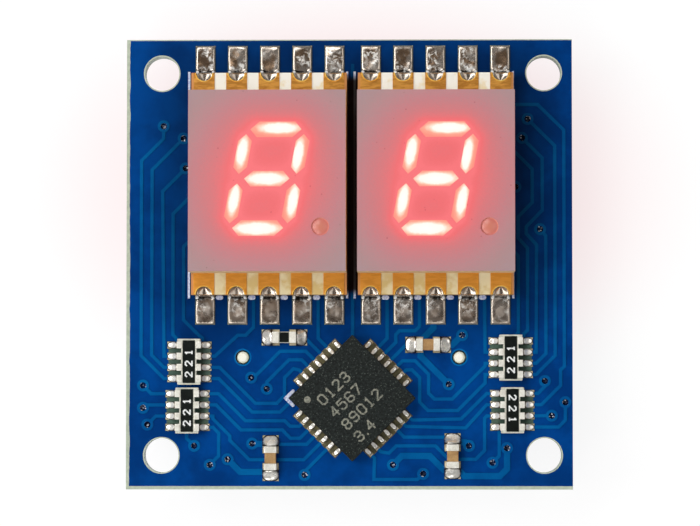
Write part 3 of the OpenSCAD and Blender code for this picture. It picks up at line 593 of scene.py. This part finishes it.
def housing_look(t, p):
    """Grey moulding with a painted red glow round the lit segments, which also tints its colour there; cream
    side walls, warm-tinted by a painted reflection of the gold ledges, with a faint painted glow.
    """
    glow = t.math("DIVIDE", t.group(DIGIT_FIELD, p)["Glow"], GLOW_FULL, clamp=True)
    grain = t.noise(p, 9.0, 3.0, 0.6)
    value = t.plus(glow, t.fit(grain, 0.3, 0.7, -0.018, 0.018))
    stops = ((0.27, 139, 142, 43), (0.33, 136, 137, 64), (0.4, 131, 134, 94), (0.47, 124, 129, 118),
             (0.53, 120, 124, 135), (0.6, 116, 120, 152), (0.7, 111, 115, 175), (0.8, 105, 109, 188),
             (0.98, 114, 119, 199))
    # Base colour set by the glow value: painted red light on the face round the segments
    base = t.ramp(value, [(at, srgb(165, green, blue)) for at, green, blue, _ in stops])
    pits = t.group(SPECKS, p, Scale=2.6, Core=0.06, Edge=0.12, Most=0.5, Patches=1.5, From=0.5, To=0.6)
    base = t.mix(pits["Specks"], base, srgb(92, 60, 70))
    lit = t.ramp(value, [(at, srgb(red, 20, 21)) for at, _, _, red in stops])
    up = t.facing_up()
    # Side walls cream, warmed by a painted reflection of the gold ledges
    side = t.mix(grain, srgb(220, 190, 136), srgb(244, 222, 176))
    # Emission: a painted red glow, strong on the face round the segments, faint on the side walls
    return {"Base Color": t.mix(up, side, base), "Roughness": 0.55,
            "Emission Color": t.mix(up, srgb(52, 18, 12), lit), "Emission Strength": 1.0,
            "Normal": t.bump(grain, 0.006)}


def segment_look(t, p):
    """Clear resin over a light die: a white core that fades to orange at the rim."""
    core = t.math("DIVIDE", t.group(DIGIT_FIELD, p)["Core"], CORE_FULL, clamp=True)
    value = t.plus(core, t.fit(t.noise(p, 4.0), 0.3, 0.7, -0.03, 0.03))
    lit = t.ramp(value, [(0.0, (1.0, 1.0, 0.97, 1)), (0.4, (1.0, 0.97, 0.88, 1)),
                         (0.5, (1.0, 0.66, 0.5, 1)), (0.62, (1.0, 0.38, 0.27, 1)),
                         (0.85, (1.0, 0.28, 0.21, 1))])
    return {"Base Color": srgb(60, 30, 28), "Roughness": 0.35, "Emission Color": lit,
            "Emission Strength": 1.0}


def point_look(t, p):
    """Unlit resin with a faint painted red glow, darker towards the rim of the point, with a paler line on
    it.
    """
    x, y = from_display(t, p)
    r = t.flat_length(t.minus(x, POINT_AT[0]), t.minus(y, POINT_AT[1]))
    base = t.ramp(t.math("DIVIDE", r, POINT_R, clamp=True),
                  [(0.0, srgb(208, 128, 106)), (0.6, srgb(206, 122, 106)),
                   (0.82, srgb(202, 116, 106)), (0.96, srgb(222, 142, 138))])
    # Emission: a faint painted red glow; the point itself is not lit
    return {"Base Color": base, "Roughness": 0.3, "Emission Color": srgb(80, 24, 24),
            "Emission Strength": 0.5, "Normal": t.bump(t.noise(p, 5.0), 0.01)}


def legend_look(t, p):
    """White ink, thin in places, under painted shadow in the gap between the displays."""
    worn = t.fit(t.noise(p, 11.0, 4.0, 0.7), 0.35, 0.6)
    ink = t.mix(worn, srgb(150, 160, 208), srgb(216, 222, 236))
    # Painted shadow over the ink in the gap between the displays
    return {"Base Color": t.mix(t.group(BY_DISPLAYS, p)["Gap"], ink, GAP_SHADOW), "Roughness": 0.55}


def etched_look(t, p):
    """Grey marks that a laser left in the black moulding."""
    worn = t.fit(t.noise(p, 12.0, 4.0, 0.7), 0.38, 0.6)
    return {"Base Color": t.mix(worn, srgb(92, 95, 86), srgb(148, 147, 132)), "Roughness": 0.8}


def gold_look(dark, light, lower=None, metal=0.55):
    """Plated gold with rubbed streaks, towards another colour on the lower half of the board, a painted
    light there.
    """
    def build(t, p):
        gold = t.group(RUBBED_GOLD, p, Dark=dark, Light=light)
        colour = gold["Color"]
        if lower:
            # Painted light: on the lower half the gold is mixed towards a brighter colour
            upper_half = t.math("GREATER_THAN", t.split(p)[1], 0.0)
            colour = t.mix(upper_half, t.mix(0.6, colour, lower), colour)
        return {"Base Color": colour, "Metallic": metal, "Roughness": gold["Roughness"],
                "Normal": gold["Normal"]}
    return build


LOOKS = {key: surface(name, look) for key, name, look in (
    ("board", "board_mask", board_look),
    ("masked_copper", "masked_copper", trace_look),
    ("via", "via_copper", via_look),
    ("pad_finish", "pad_gold", gold_look(srgb(190, 172, 140), srgb(232, 218, 186))),
    ("ink", "legend_ink", legend_look),
    ("numeral", "numeral_ink", plain_look(srgb(206, 210, 208), srgb(250, 250, 248), 11.0, (0.5, 0.6))),
    ("laminate", "cream_laminate", laminate_look),
    ("window", "bare_laminate", plain_look(srgb(44, 72, 62), srgb(74, 100, 84), 3.0, (0.4, 0.6))),
    ("driver_window", "stained_laminate",
     plain_look(srgb(62, 58, 34), srgb(104, 96, 60), 4.0, (0.4, 0.6))),
    # Brighter gold on the lower ledges: painted light
    ("gold", "terminal_gold", gold_look(srgb(186, 124, 44), srgb(222, 160, 70), srgb(255, 170, 60))),
    # Brighter and less metallic than the terminal gold: a painted highlight on the rolled rims
    ("bright_gold", "rolled_gold_painted_highlight", gold_look(srgb(250, 178, 50), srgb(255, 216, 104), metal=0.2)),
    ("housing", "housing_moulding", housing_look),
    ("die", "light_die", plain_look(srgb(120, 20, 20), srgb(170, 40, 36), 6.0, (0.3, 0.5))),
    # Pale rim: a painted highlight along the display pads' edges
    ("solder", "bright_solder",
     solder_look(srgb(206, 194, 182), srgb(122, 107, 95), srgb(186, 174, 160), (0.78, 0.78), flux=0.8)),
    # Near-white and little metal: painted highlights on the small joints; the dark rim is painted shade
    ("small_solder", "solder_painted_white",
     solder_look(srgb(255, 252, 244), srgb(244, 236, 214), srgb(86, 70, 46), (0.45, 0.35))),
    # Dark rim: a painted dark reflection at the joints' borders
    ("chip_solder", "mirror_solder",
     solder_look(srgb(255, 252, 244), srgb(206, 198, 180), srgb(60, 50, 36), (0.72, 0.4))),
    ("lit_resin", "lit_resin", segment_look),
    ("point_resin", "point_resin", point_look),
    ("mould_compound", "black_moulding", moulding_look),
    ("etching", "etched_marks", etched_look),
    ("tin", "tinned_metal",
     plain_look(srgb(226, 222, 208), srgb(252, 250, 240), 3.0, (0.28, 0.45), 0.01, metal=0.25)),
    ("ceramic_white", "white_ceramic",
     plain_look(srgb(186, 186, 172), srgb(220, 220, 206), 4.0, (0.45, 0.6), 0.004)),
    ("overcoat", "black_overcoat",
     plain_look(srgb(4, 9, 6), srgb(18, 24, 20), 3.0, (0.3, 0.42), 0.003, **{"Specular IOR Level": 0.2})),
    ("ceramic_tan", "tan_ceramic",
     plain_look(srgb(150, 112, 66), srgb(184, 146, 94), 3.0, (0.4, 0.55), 0.006)),
    ("connector_plastic", "connector_plastic",
     plain_look(srgb(244, 241, 222), srgb(255, 254, 244), 2.0, (0.4, 0.55), 0.01)),
    ("plug", "mask_plug", plug_look),
)}

slot_of = {part["node"]: part["material_slot"] for part in frame["record"]["subparts"]}
for name, cad in nodes.items():
    cad.data.materials.clear()
    cad.data.materials.append(LOOKS["via" if name == "vias" else slot_of[name]])


# Soft edges on CAD nodes
def soften(node, width):
    """Rounds a CAD node's edges over a width in millimetres, inside its own box."""
    weld = nodes[node].modifiers.new("weld", "WELD")
    weld.merge_threshold = 1e-6
    bevel = nodes[node].modifiers.new("bevel", "BEVEL")
    bevel.width, bevel.segments = width * MM, 3
    bevel.limit_method, bevel.angle_limit = "ANGLE", math.radians(40)


soften("driver_body", 0.03)
for k in ARRAYS:
    soften(f"resistor_array_{k}_body", 0.03)
    soften(f"resistor_array_{k}_overcoat", 0.01)
    soften(f"resistor_array_{k}_terminals", 0.025)
for k in (1, 2, 3):
    soften(f"capacitor_{k}_body", 0.03)
    soften(f"capacitor_{k}_end_caps", 0.028)
soften("chip_resistor_terminations", 0.025)
soften("chip_resistor_body", 0.02)
soften("connector_housing", 0.06)
soften("connector_contacts", 0.02)


# Surfaces made from formulas
PAINTED = ("ring", "bead_and_glint")
QUAD = np.array([[0, 1, 2, 3]])
SEAM = 1e-5


def close_seams(mesh):
    """Merges points less than SEAM apart, which closes the seams and poles of a grid."""
    form = bmesh.new()
    form.from_mesh(mesh)
    bmesh.ops.remove_doubles(form, verts=form.verts, dist=SEAM * MM)
    form.to_mesh(mesh)
    form.free()


def add_piece(name, points, faces, look, slot_name, replaced=(), smooth=True):
    """A mesh of points in millimetres that rides on the module's one body.

    Columns past the third hold the values of PAINTED at each point.
    """
    points = np.asarray(points)
    mesh = bpy.data.meshes.new(name)
    mesh.from_pydata((points[:, :3] * MM).tolist(), [], np.asarray(faces).tolist())
    for label, column in zip(PAINTED, points.T[3:]):
        mesh.attributes.new(label, "FLOAT", "POINT").data.foreach_set("value", column.astype(np.float32))
    close_seams(mesh)
    if smooth:
        mesh.shade_smooth()
    else:
        mesh.shade_flat()
    mesh.materials.append(LOOKS[look])
    piece = bpy.data.objects.new(name, mesh)
    bpy.context.scene.collection.objects.link(piece)
    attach(piece, "root")
    if replaced:
        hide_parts(*replaced)


def grid_faces(rows, columns):
    """Quads of a grid of points stored row by row.

    They face along the cross product of the way from row to row and the way along a row.
    """
    start = (np.arange(rows - 1)[:, None] * columns + np.arange(columns - 1)[None, :]).ravel()
    return np.stack([start, start + columns, start + columns + 1, start + 1], axis=1)


def gather(parts):
    """Joins (points, faces) pairs into one."""
    points, faces, count = [], [], 0
    for part_points, part_faces in parts:
        points.append(part_points)
        faces.append(part_faces + count)
        count += len(part_points)
    return np.concatenate(points), np.concatenate(faces)


def heading(angle):
    """The flat unit vector at an angle in degrees from +X."""
    return np.array([math.cos(math.radians(angle)), math.sin(math.radians(angle))])


def spread(count, pitch):
    """Places of a row of things at a pitch, centred on 0."""
    return (np.arange(count) - (count - 1) / 2) * pitch


def turned(points, angle, at):
    """Points turned about Z by an angle in degrees and moved to a place, with what is painted."""
    c, s = heading(angle)
    x, y, z = points[:, 0], points[:, 1], points[:, 2]
    place = np.stack([c * x - s * y + at[0], s * x + c * y + at[1], z + at[2]], axis=1)
    return np.concatenate([place, points[:, 3:]], axis=1)


dents = np.random.default_rng(7)
FLARE = 0.12
BEAD = 0.08
BEAD_OUT = 0.1


def solder_joint(length, width, film, rise, reach, steep=2, edge=4, notch=0.0, lumps=0.0, corner=40,
                 rows=22, columns=17):
    """Solder on one pad, from the part's end at x = 0 outwards along +X, and into a notch of -X.

    Half width w(x) = width/2 (1 - 0.98 (x/length)^corner)^(1/corner) outside, which rounds the far
    corners, and sqrt(notch^2 - x^2) in the notch. From a notch it widens to the pad's over FLARE.
    y = w(x) t for t from -1 to 1. Ring = (|t|^3 + |2x/length - 1|^3)^(1/3) is 0 at the middle of
    the pad and 1 at its border.
    Height z = film r + (rise - film) exp(-(x/reach)^steep) c, where the rim
    r = ((1 - t^edge) (1 - (x/length)^(edge + 6)))^(1/2), and the crown c = (1 - t^4)^(1/2) outside
    and 1 - (1 - t^2)/4 in the notch, plus a few slow waves of height lumps, lower in the notch.
    With a notch, two beads of height BEAD stand at its corners, BEAD_OUT past the part's end:
    bead = exp(-((x - BEAD_OUT)^2 + (|y| - notch)^2) / BEAD^2).
    """
    x = np.linspace(-notch, length, rows)
    t = np.sin(np.linspace(-1, 1, columns) * math.pi / 2)
    x, t = np.meshgrid(x, t, indexing="ij")
    out = np.maximum(x, 0)
    half = width / 2 * (1 - 0.98 * (out / length) ** corner) ** (1 / corner)
    ring = (np.abs(t) ** 3 + np.abs(2 * out / length - 1) ** 3) ** (1 / 3)
    bead_and_glint = np.zeros_like(x)
    if notch:
        flare = np.clip(out / FLARE, 0, 1)
        inside = np.sqrt(np.clip(notch ** 2 - np.minimum(x, 0) ** 2, 0, None))
        half = np.where(x < 0, inside, notch + (half - notch) * flare)
    y = half * t
    rim = np.sqrt(np.clip((1 - t ** edge) * (1 - (out / length) ** (edge + 6)), 0, 1))
    crown = np.where(x < 0, 1 - 0.25 * (1 - t ** 2), np.sqrt(np.clip(1 - t ** 4, 0, 1)))
    z = film * rim + (rise - film) * np.exp(-((out / reach) ** steep)) * crown
    if notch:
        bead_and_glint = np.exp(-((x - BEAD_OUT) ** 2 + (np.abs(y) - notch) ** 2) / BEAD ** 2)
        z = z + BEAD * bead_and_glint
    if lumps:
        a, b, c, d = dents.uniform(0, 2 * math.pi, 4)
        slow = np.sin(x / length * 4.2 + a) * np.cos(y / width * 3.4 + b)
        quick = np.sin(x / length * 8 + c) * np.sin(y / width * 6 + d)
        z = z + lumps * (slow + quick / 2) * rim * np.where(x < 0, 0.3, 1)
    # The last two columns are stored on the mesh; the second paints white highlights on the beads.
    points = np.stack([x, y, np.maximum(z, 0), ring, bead_and_glint], axis=-1).reshape(-1, 5)
    return points, grid_faces(rows, columns)


def joints(places, base=pad_top, **shape):
    """One solder joint at each (x, y, turn), on the pads or spilled over their borders."""
    parts = []
    for x, y, angle in places:
        points, faces = solder_joint(**shape)
        parts.append((turned(points, angle, (x, y, base)), faces))
    return gather(parts)


def display_ends(side):
    """(x, y, turn) of a display's notches, the upper row first."""
    mid = display_mid[side]
    return [(mid[0] + x, mid[1] + row * display_end, 90 * row)
            for row in (1, -1) for x in spread(TERMINALS, TERMINAL_PITCH)]


for side in SIDES:
    add_piece(f"{side}_joints",
              *joints(display_ends(side), length=DISPLAY_PAD[0], width=DISPLAY_PAD[1], film=0.08, rise=0.7,
                      reach=0.07, steep=3, edge=10, notch=NOTCH_R, lumps=0.018, rows=56, columns=25),
              "solder", "solder", (f"{side}_solder",))


def notch_rim():
    """Rolled plating on a notch's edge: a tube of radius t along half a circle of radius R.

    Angles a along the arc and b round the tube: ((R + t cos b) cos a, (R + t cos b) sin a, t sin b).
    """
    tube = 0.024
    arc = NOTCH_R + 0.02
    rows, columns = 19, 9
    a = np.linspace(math.pi / 2, 3 * math.pi / 2, rows)[:, None]
    b = np.linspace(0, 2 * math.pi, columns)[None, :]
    ring = arc + tube * np.cos(b)
    points = np.stack([ring * np.cos(a), ring * np.sin(a), tube * np.sin(b) + 0 * a], axis=-1)
    return points.reshape(-1, 3), grid_faces(rows, columns)


for side in SIDES:
    points, faces = notch_rim()
    rims = [(turned(points, turn, (x, y, ledge_z)), faces) for x, y, turn in display_ends(side)]
    add_piece(f"{side}_notch_rims", *gather(rims), "bright_gold", "gold")

driver_ends = []
for quarter in range(4):
    turn = DRIVER_TURN + 90 * quarter
    for shift in spread(DRIVER_TERMINALS, DRIVER_PITCH):
        at = driver_mid[:2] + heading(turn) * DRIVER_HALF + heading(turn + 90) * shift
        driver_ends.append((*at, turn))
add_piece("driver_joints",
          *joints(driver_ends, length=0.37, width=0.21, film=0.05, rise=0.17, reach=0.16, lumps=0.006,
                  corner=4, rows=18, columns=11),
          "small_solder", "solder", ("driver_solder",))

array_ends = []
for k in ARRAYS:
    mid = middle(f"resistor_array_{k}_body")
    for sign, turn in ((1, 0), (-1, 180)):
        array_ends += [(mid[0] + sign * ARRAY_FACE, mid[1] - shift, turn)
                       for shift in spread(ARRAY_ROWS, ARRAY_PITCH)]
add_piece("array_joints",
          *joints(array_ends, length=0.435, width=0.32, film=0.06, rise=0.3, reach=0.17, lumps=0.008,
                  corner=3, rows=20, columns=13),
          "small_solder", "solder", ("array_solder",))

chip_ends = []
for name, angle in (("chip_resistor", 0), ("capacitor_1", 0), ("capacitor_2", 90), ("capacitor_3", 90)):
    for turn in (angle, angle + 180):
        chip_ends.append((*(middle(f"{name}_body")[:2] + heading(turn) * CHIP_FACE), turn))
add_piece("chip_joints",
          *joints(chip_ends, base=board_top, length=0.5, width=0.78, film=0.09, rise=0.38, reach=0.26,
                  lumps=0.022, corner=4, rows=26, columns=21),
          "chip_solder", "solder", ("passive_solder",))


def disc(centre, radius, height, rings, steps):
    """Rings of points round a centre, from the middle out to a radius R, at height(r/R)."""
    share = np.linspace(0, 1, rings)[:, None]
    a = np.linspace(0, 2 * math.pi, steps + 1)[None, :]
    x, y = centre[0] + share * radius * np.cos(a), centre[1] + share * radius * np.sin(a)
    points = np.stack([x, y, height(share) + 0 * a], axis=-1)
    return points.reshape(-1, 3), grid_faces(rings, steps + 1)


def point_dome(centre):
    """Domed resin of a decimal point: z = face - sunk - dip (r/R)^2."""
    sunk, dip = 0.004, 0.09
    return disc(centre, POINT_R, lambda share: face_z - sunk - dip * share ** 2, rings=10, steps=48)


for side in SIDES:
    add_piece(f"{side}_point_dome", *point_dome(display_mid[side][:2] + np.array(POINT_AT)),
              "point_resin", "point_resin", (f"{side}_decimal_point",))


# Flat marks
def islands(node):
    """The points of each separate solid of a CAD node, in millimetres."""
    mesh = nodes[node].data
    points = np.array([v.co for v in mesh.vertices]) / MM
    keys = {}
    merged = [keys.setdefault(tuple(np.round(p, 4)), i) for i, p in enumerate(points)]
    parent = list(range(len(points)))

    def root(i):
        while parent[i] != i:
            parent[i] = parent[parent[i]]
            i = parent[i]
        return i
    for polygon in mesh.polygons:
        first = root(merged[polygon.vertices[0]])
        for i in polygon.vertices[1:]:
            parent[root(merged[i])] = first
    groups = {}
    for i in keys.values():
        groups.setdefault(root(i), []).append(i)
    return [points[members] for members in groups.values()]


WINDOW_LIFT = 0.004


def rectangle(x_from, x_to, half):
    """Corners of a flat rectangle that reaches half to either side of the X axis."""
    return np.array([[x_from, -half, 0], [x_to, -half, 0], [x_to, half, 0], [x_from, half, 0]])


def pad_windows():
    """Openings of the mask round pads: each pad's outline moved out, just above the laminate."""
    margin = 0.02
    quads = []
    for pad in islands("bare_pads"):
        corners = pad[pad[:, 2] > pad_top - 1e-3][:, :2]
        if pad[:, 2].max() < board_top or len(corners) != 4:
            continue
        centre = corners.mean(0)
        ring = corners[np.argsort(np.arctan2(*(corners - centre).T[::-1]))]
        a, b = (side / np.linalg.norm(side) for side in (ring[1] - ring[0], ring[2] - ring[1]))
        grown = [ring[0] - margin * (a + b), ring[1] + margin * (a - b), ring[2] + margin * (a + b),
                 ring[3] - margin * (a - b)]
        quads.append(np.array([[*p, board_top + WINDOW_LIFT] for p in grown]))
    return quads


def array_windows():
    """Openings of the mask under the arrays, over those of their pads."""
    half_x, half_y = 0.94, 0.88
    return [turned(rectangle(-half_x, half_x, half_y), 0,
                   (*middle(f"resistor_array_{k}_body")[:2], board_top + 2 * WINDOW_LIFT)) for k in ARRAYS]


def driver_windows():
    """Bare laminate between the driver's pads, one strip on each side."""
    inner, outer, half = 1.9, 2.46, 1.34
    return [turned(rectangle(inner, outer, half), DRIVER_TURN + 90 * quarter,
                   (*driver_mid[:2], board_top + 2 * WINDOW_LIFT)) for quarter in range(4)]


for name, quads, look in (("mask_windows", pad_windows() + array_windows(), "window"),
                          ("driver_windows", driver_windows(), "driver_window")):
    add_piece(name, *gather([(quad, QUAD) for quad in quads]), look, "board", smooth=False)


def plugs():
    """Mask ink in each via: a hollow z = top - sink (2 - (r/R)^2) over a disc."""
    radius, sink = 0.139, 0.07
    parts = []
    for via in islands("vias"):
        centre = (via[:, :2].min(0) + via[:, :2].max(0)) / 2
        parts.append(disc(centre, radius, lambda share: board_top - sink * (2 - share ** 2), rings=5,
                          steps=24))
    return gather(parts)


add_piece("via_plugs", *plugs(), "plug", "masked_copper")

# Strokes of plain numerals on a grid of 4 by 6, as pairs of x and y
GLYPHS = {
    "0": "01 05 16 36 45 41 30 10 01", "1": "15 26 20|10 30", "2": "05 16 36 45 44 00 40",
    "3": "05 16 36 45 44 33 13|33 42 41 30 10 01", "4": "30 36 02 42", "5": "46 06 04 34 43 41 30 10 01",
    "6": "45 36 16 05 01 10 30 41 42 33 03", "7": "06 46 10",
    "8": "13 04 05 16 36 45 44 33 13 02 01 10 30 41 42 33", "9": "43 13 04 05 16 36 45 41 30 10 01",
}
STROKE_STEP = 0.0003
MARK_LIFT = 0.002
DRIVER_ROWS = (("0123", 0.465), ("4567", 0.465), ("89012", 0.465), ("3.4", 0.345))
DRIVER_ROWS_FROM = (-0.98, -0.895)
DRIVER_ROW_PITCH = 0.768
DOT_AT = (-2.0, -0.07)
DOT_R = 0.15
DOT_STEPS = 32
ARRAY_MARK_FROM = -0.57


def strokes(text, height, pitch, weight):
    """Flat strokes of plain numerals along +X, centred on the first one, each a step above the last.

    A stroke from a to b is a rectangle of the given weight, drawn out past its ends by 0.4 of it.
    """
    parts, unit = [], height / 6
    foot = np.array([0, -3]) * unit
    for place, char in enumerate(text):
        if char == ".":
            lines = [[foot, foot + [0, weight * 0.3]]]
        else:
            lines = [[np.array([int(p[0]) - 2, int(p[1]) - 3]) * unit for p in line.split()]
                     for line in GLYPHS[char].split("|")]
        for line in lines:
            for a, b in zip(line, line[1:]):
                u = (b - a) / np.linalg.norm(b - a) * weight / 2
                n = np.array([-u[1], u[0]])
                a, b = a - u * 0.8, b + u * 0.8
                quad = np.array([[*(a - n), 0], [*(b - n), 0], [*(b + n), 0], [*(a + n), 0]])
                quad[:, 0] += place * pitch
                quad[:, 2] = STROKE_STEP * len(parts)
                parts.append((quad, QUAD))
    return gather(parts)


marks = []
for row, (text, pitch) in enumerate(DRIVER_ROWS):
    points, faces = strokes(text, height=0.44, pitch=pitch, weight=0.075)
    across, down = DRIVER_ROWS_FROM[0], DRIVER_ROWS_FROM[1] + DRIVER_ROW_PITCH * row
    at = driver_mid[:2] + heading(DRIVER_TURN) * across + heading(DRIVER_TURN - 90) * down
    marks.append((turned(points, DRIVER_TURN, (*at, driver_top + MARK_LIFT)), faces))
add_piece("driver_marks", *gather(marks), "etching", "mould_compound", smooth=False)

round_dot = np.linspace(0, 2 * math.pi, DOT_STEPS + 1)[:-1]
dot = np.stack([driver_mid[0] + DOT_AT[0] + DOT_R * np.cos(round_dot),
                driver_mid[1] + DOT_AT[1] + DOT_R * np.sin(round_dot),
                np.full(DOT_STEPS, driver_top + MARK_LIFT)], axis=1)
add_piece("driver_dot", dot, [list(range(DOT_STEPS))], "etching", "mould_compound", smooth=False)

for k, turn in zip(ARRAYS, (90, 90, 90, -90)):
    points, faces = strokes("221", height=0.29, pitch=0.49, weight=0.066)
    at = middle(f"resistor_array_{k}_body")[:2] + heading(turn) * ARRAY_MARK_FROM
    top = span(f"resistor_array_{k}_overcoat")[1][2]
    add_piece(f"array_{k}_marks", turned(points, turn, (*at, top + MARK_LIFT)), faces, "numeral",
              "overcoat", smooth=False)

# Stage, light and camera, whose sizes are in metres
FLOOR_SIZE = 3.0
FLOOR_DROP = 0.00002
DIGIT_GLOW_REACH = (11, 7)
FLOOR_GLOW = 0.88
SKY_STRENGTH = 0.26
LAMP_AWAY = 0.3
CAMERA_AT = Vector((2.89, -6.53, 151)) * MM
LENS = 172.2
TILT_BACK = math.radians(2.51)
TILT_SIDE = math.radians(1.15)


def floor_shader(t):
    """A pale floor that keeps the shadow, lifted to white for the camera, with a painted pink glow of the
    digits round them.
    """
    ray = t.add("LightPath").outputs["Is Camera Ray"]
    at = t.vector("SUBTRACT", t.place(), (0.0, display_mid["left"][1], 0.0))
    # Painted pink glow of the digits' light on the floor around them
    reach = t.vector("LENGTH", t.vector("MULTIPLY", at, (1 / DIGIT_GLOW_REACH[0], 1 / DIGIT_GLOW_REACH[1], 0.0)))
    painted_digit_glow = t.mix(t.fit(reach, 0.7, 1.6), (1, 0.84, 0.84, 1), (1, 1, 1, 1))
    seen = t.add("Emission", {"Color": painted_digit_glow, "Strength": t.times(ray, FLOOR_GLOW)})
    plain = t.add("BsdfDiffuse", {"Color": t.mix(ray, (0.85, 0.85, 0.85, 1), (0.15, 0.15, 0.15, 1))})
    return t.add("AddShader", (seen.outputs[0], plain.outputs[0])).outputs[0]


bpy.ops.mesh.primitive_grid_add(x_subdivisions=4, y_subdivisions=4, size=FLOOR_SIZE,
                                location=(0, 0, cad_lo[2] - FLOOR_DROP))
floor = bpy.context.object
floor.name = "floor"
floor.data.materials.append(material("floor", floor_shader))

world = bpy.data.worlds.new("studio")
bpy.context.scene.world = world
world.use_nodes = True
world.node_tree.nodes.clear()
w = Tree(world.node_tree)
height = w.split(w.add("TexCoord").outputs["Generated"])[2]
sky = w.ramp(height, [(0.0, (0.85, 0.86, 0.88, 1)), (0.55, (0.95, 0.95, 0.97, 1)),
                      (0.8, (0.5, 0.49, 0.48, 1)), (0.95, (0.16, 0.15, 0.15, 1))])
dome = w.add("Background", {"Color": sky, "Strength": SKY_STRENGTH})
white = w.add("Background", {"Color": (1, 1, 1, 1), "Strength": 1.0})
ray = w.add("LightPath").outputs["Is Camera Ray"]
w.add("OutputWorld", (w.add("MixShader", (ray, dome.outputs[0], white.outputs[0])).outputs[0],))


def area_light(name, azimuth, elevation, size, power):
    """A square soft box that looks at the module's middle from an angle in degrees."""
    a, e = math.radians(azimuth), math.radians(elevation)
    data = bpy.data.lights.new(name, "AREA")
    data.energy, data.shape, data.size = power, "SQUARE", size
    lamp = bpy.data.objects.new(name, data)
    away = Vector((math.cos(e) * math.cos(a), math.cos(e) * math.sin(a), math.sin(e)))
    lamp.location = Vector((0, 0, board_top)) * MM + away * LAMP_AWAY
    lamp.rotation_mode = "QUATERNION"
    lamp.rotation_quaternion = (-away).to_track_quat("-Z", "Y")
    bpy.context.scene.collection.objects.link(lamp)


area_light("left_box", 175, 47, 0.16, 0.4)
area_light("right_box", 5, 55, 0.16, 0.11)
area_light("back_box", 118, 56, 0.14, 0.24)
area_light("front_box", -118, 50, 0.14, 0.27)

back = Vector((math.sin(TILT_SIDE), -math.sin(TILT_BACK), 1)).normalized()
right = Vector((0, 1, 0)).cross(back).normalized()
up = back.cross(right)
camera = bpy.data.objects.new("camera", bpy.data.cameras.new("camera"))
camera.data.lens = LENS
camera.data.clip_start, camera.data.clip_end = 0.01, 10
camera.matrix_world = Matrix.Translation(CAMERA_AT) @ Matrix((right, up, back)).transposed().to_4x4()
bpy.context.scene.collection.objects.link(camera)
bpy.context.scene.camera = camera
bpy.context.scene.view_settings.view_transform = "Standard"
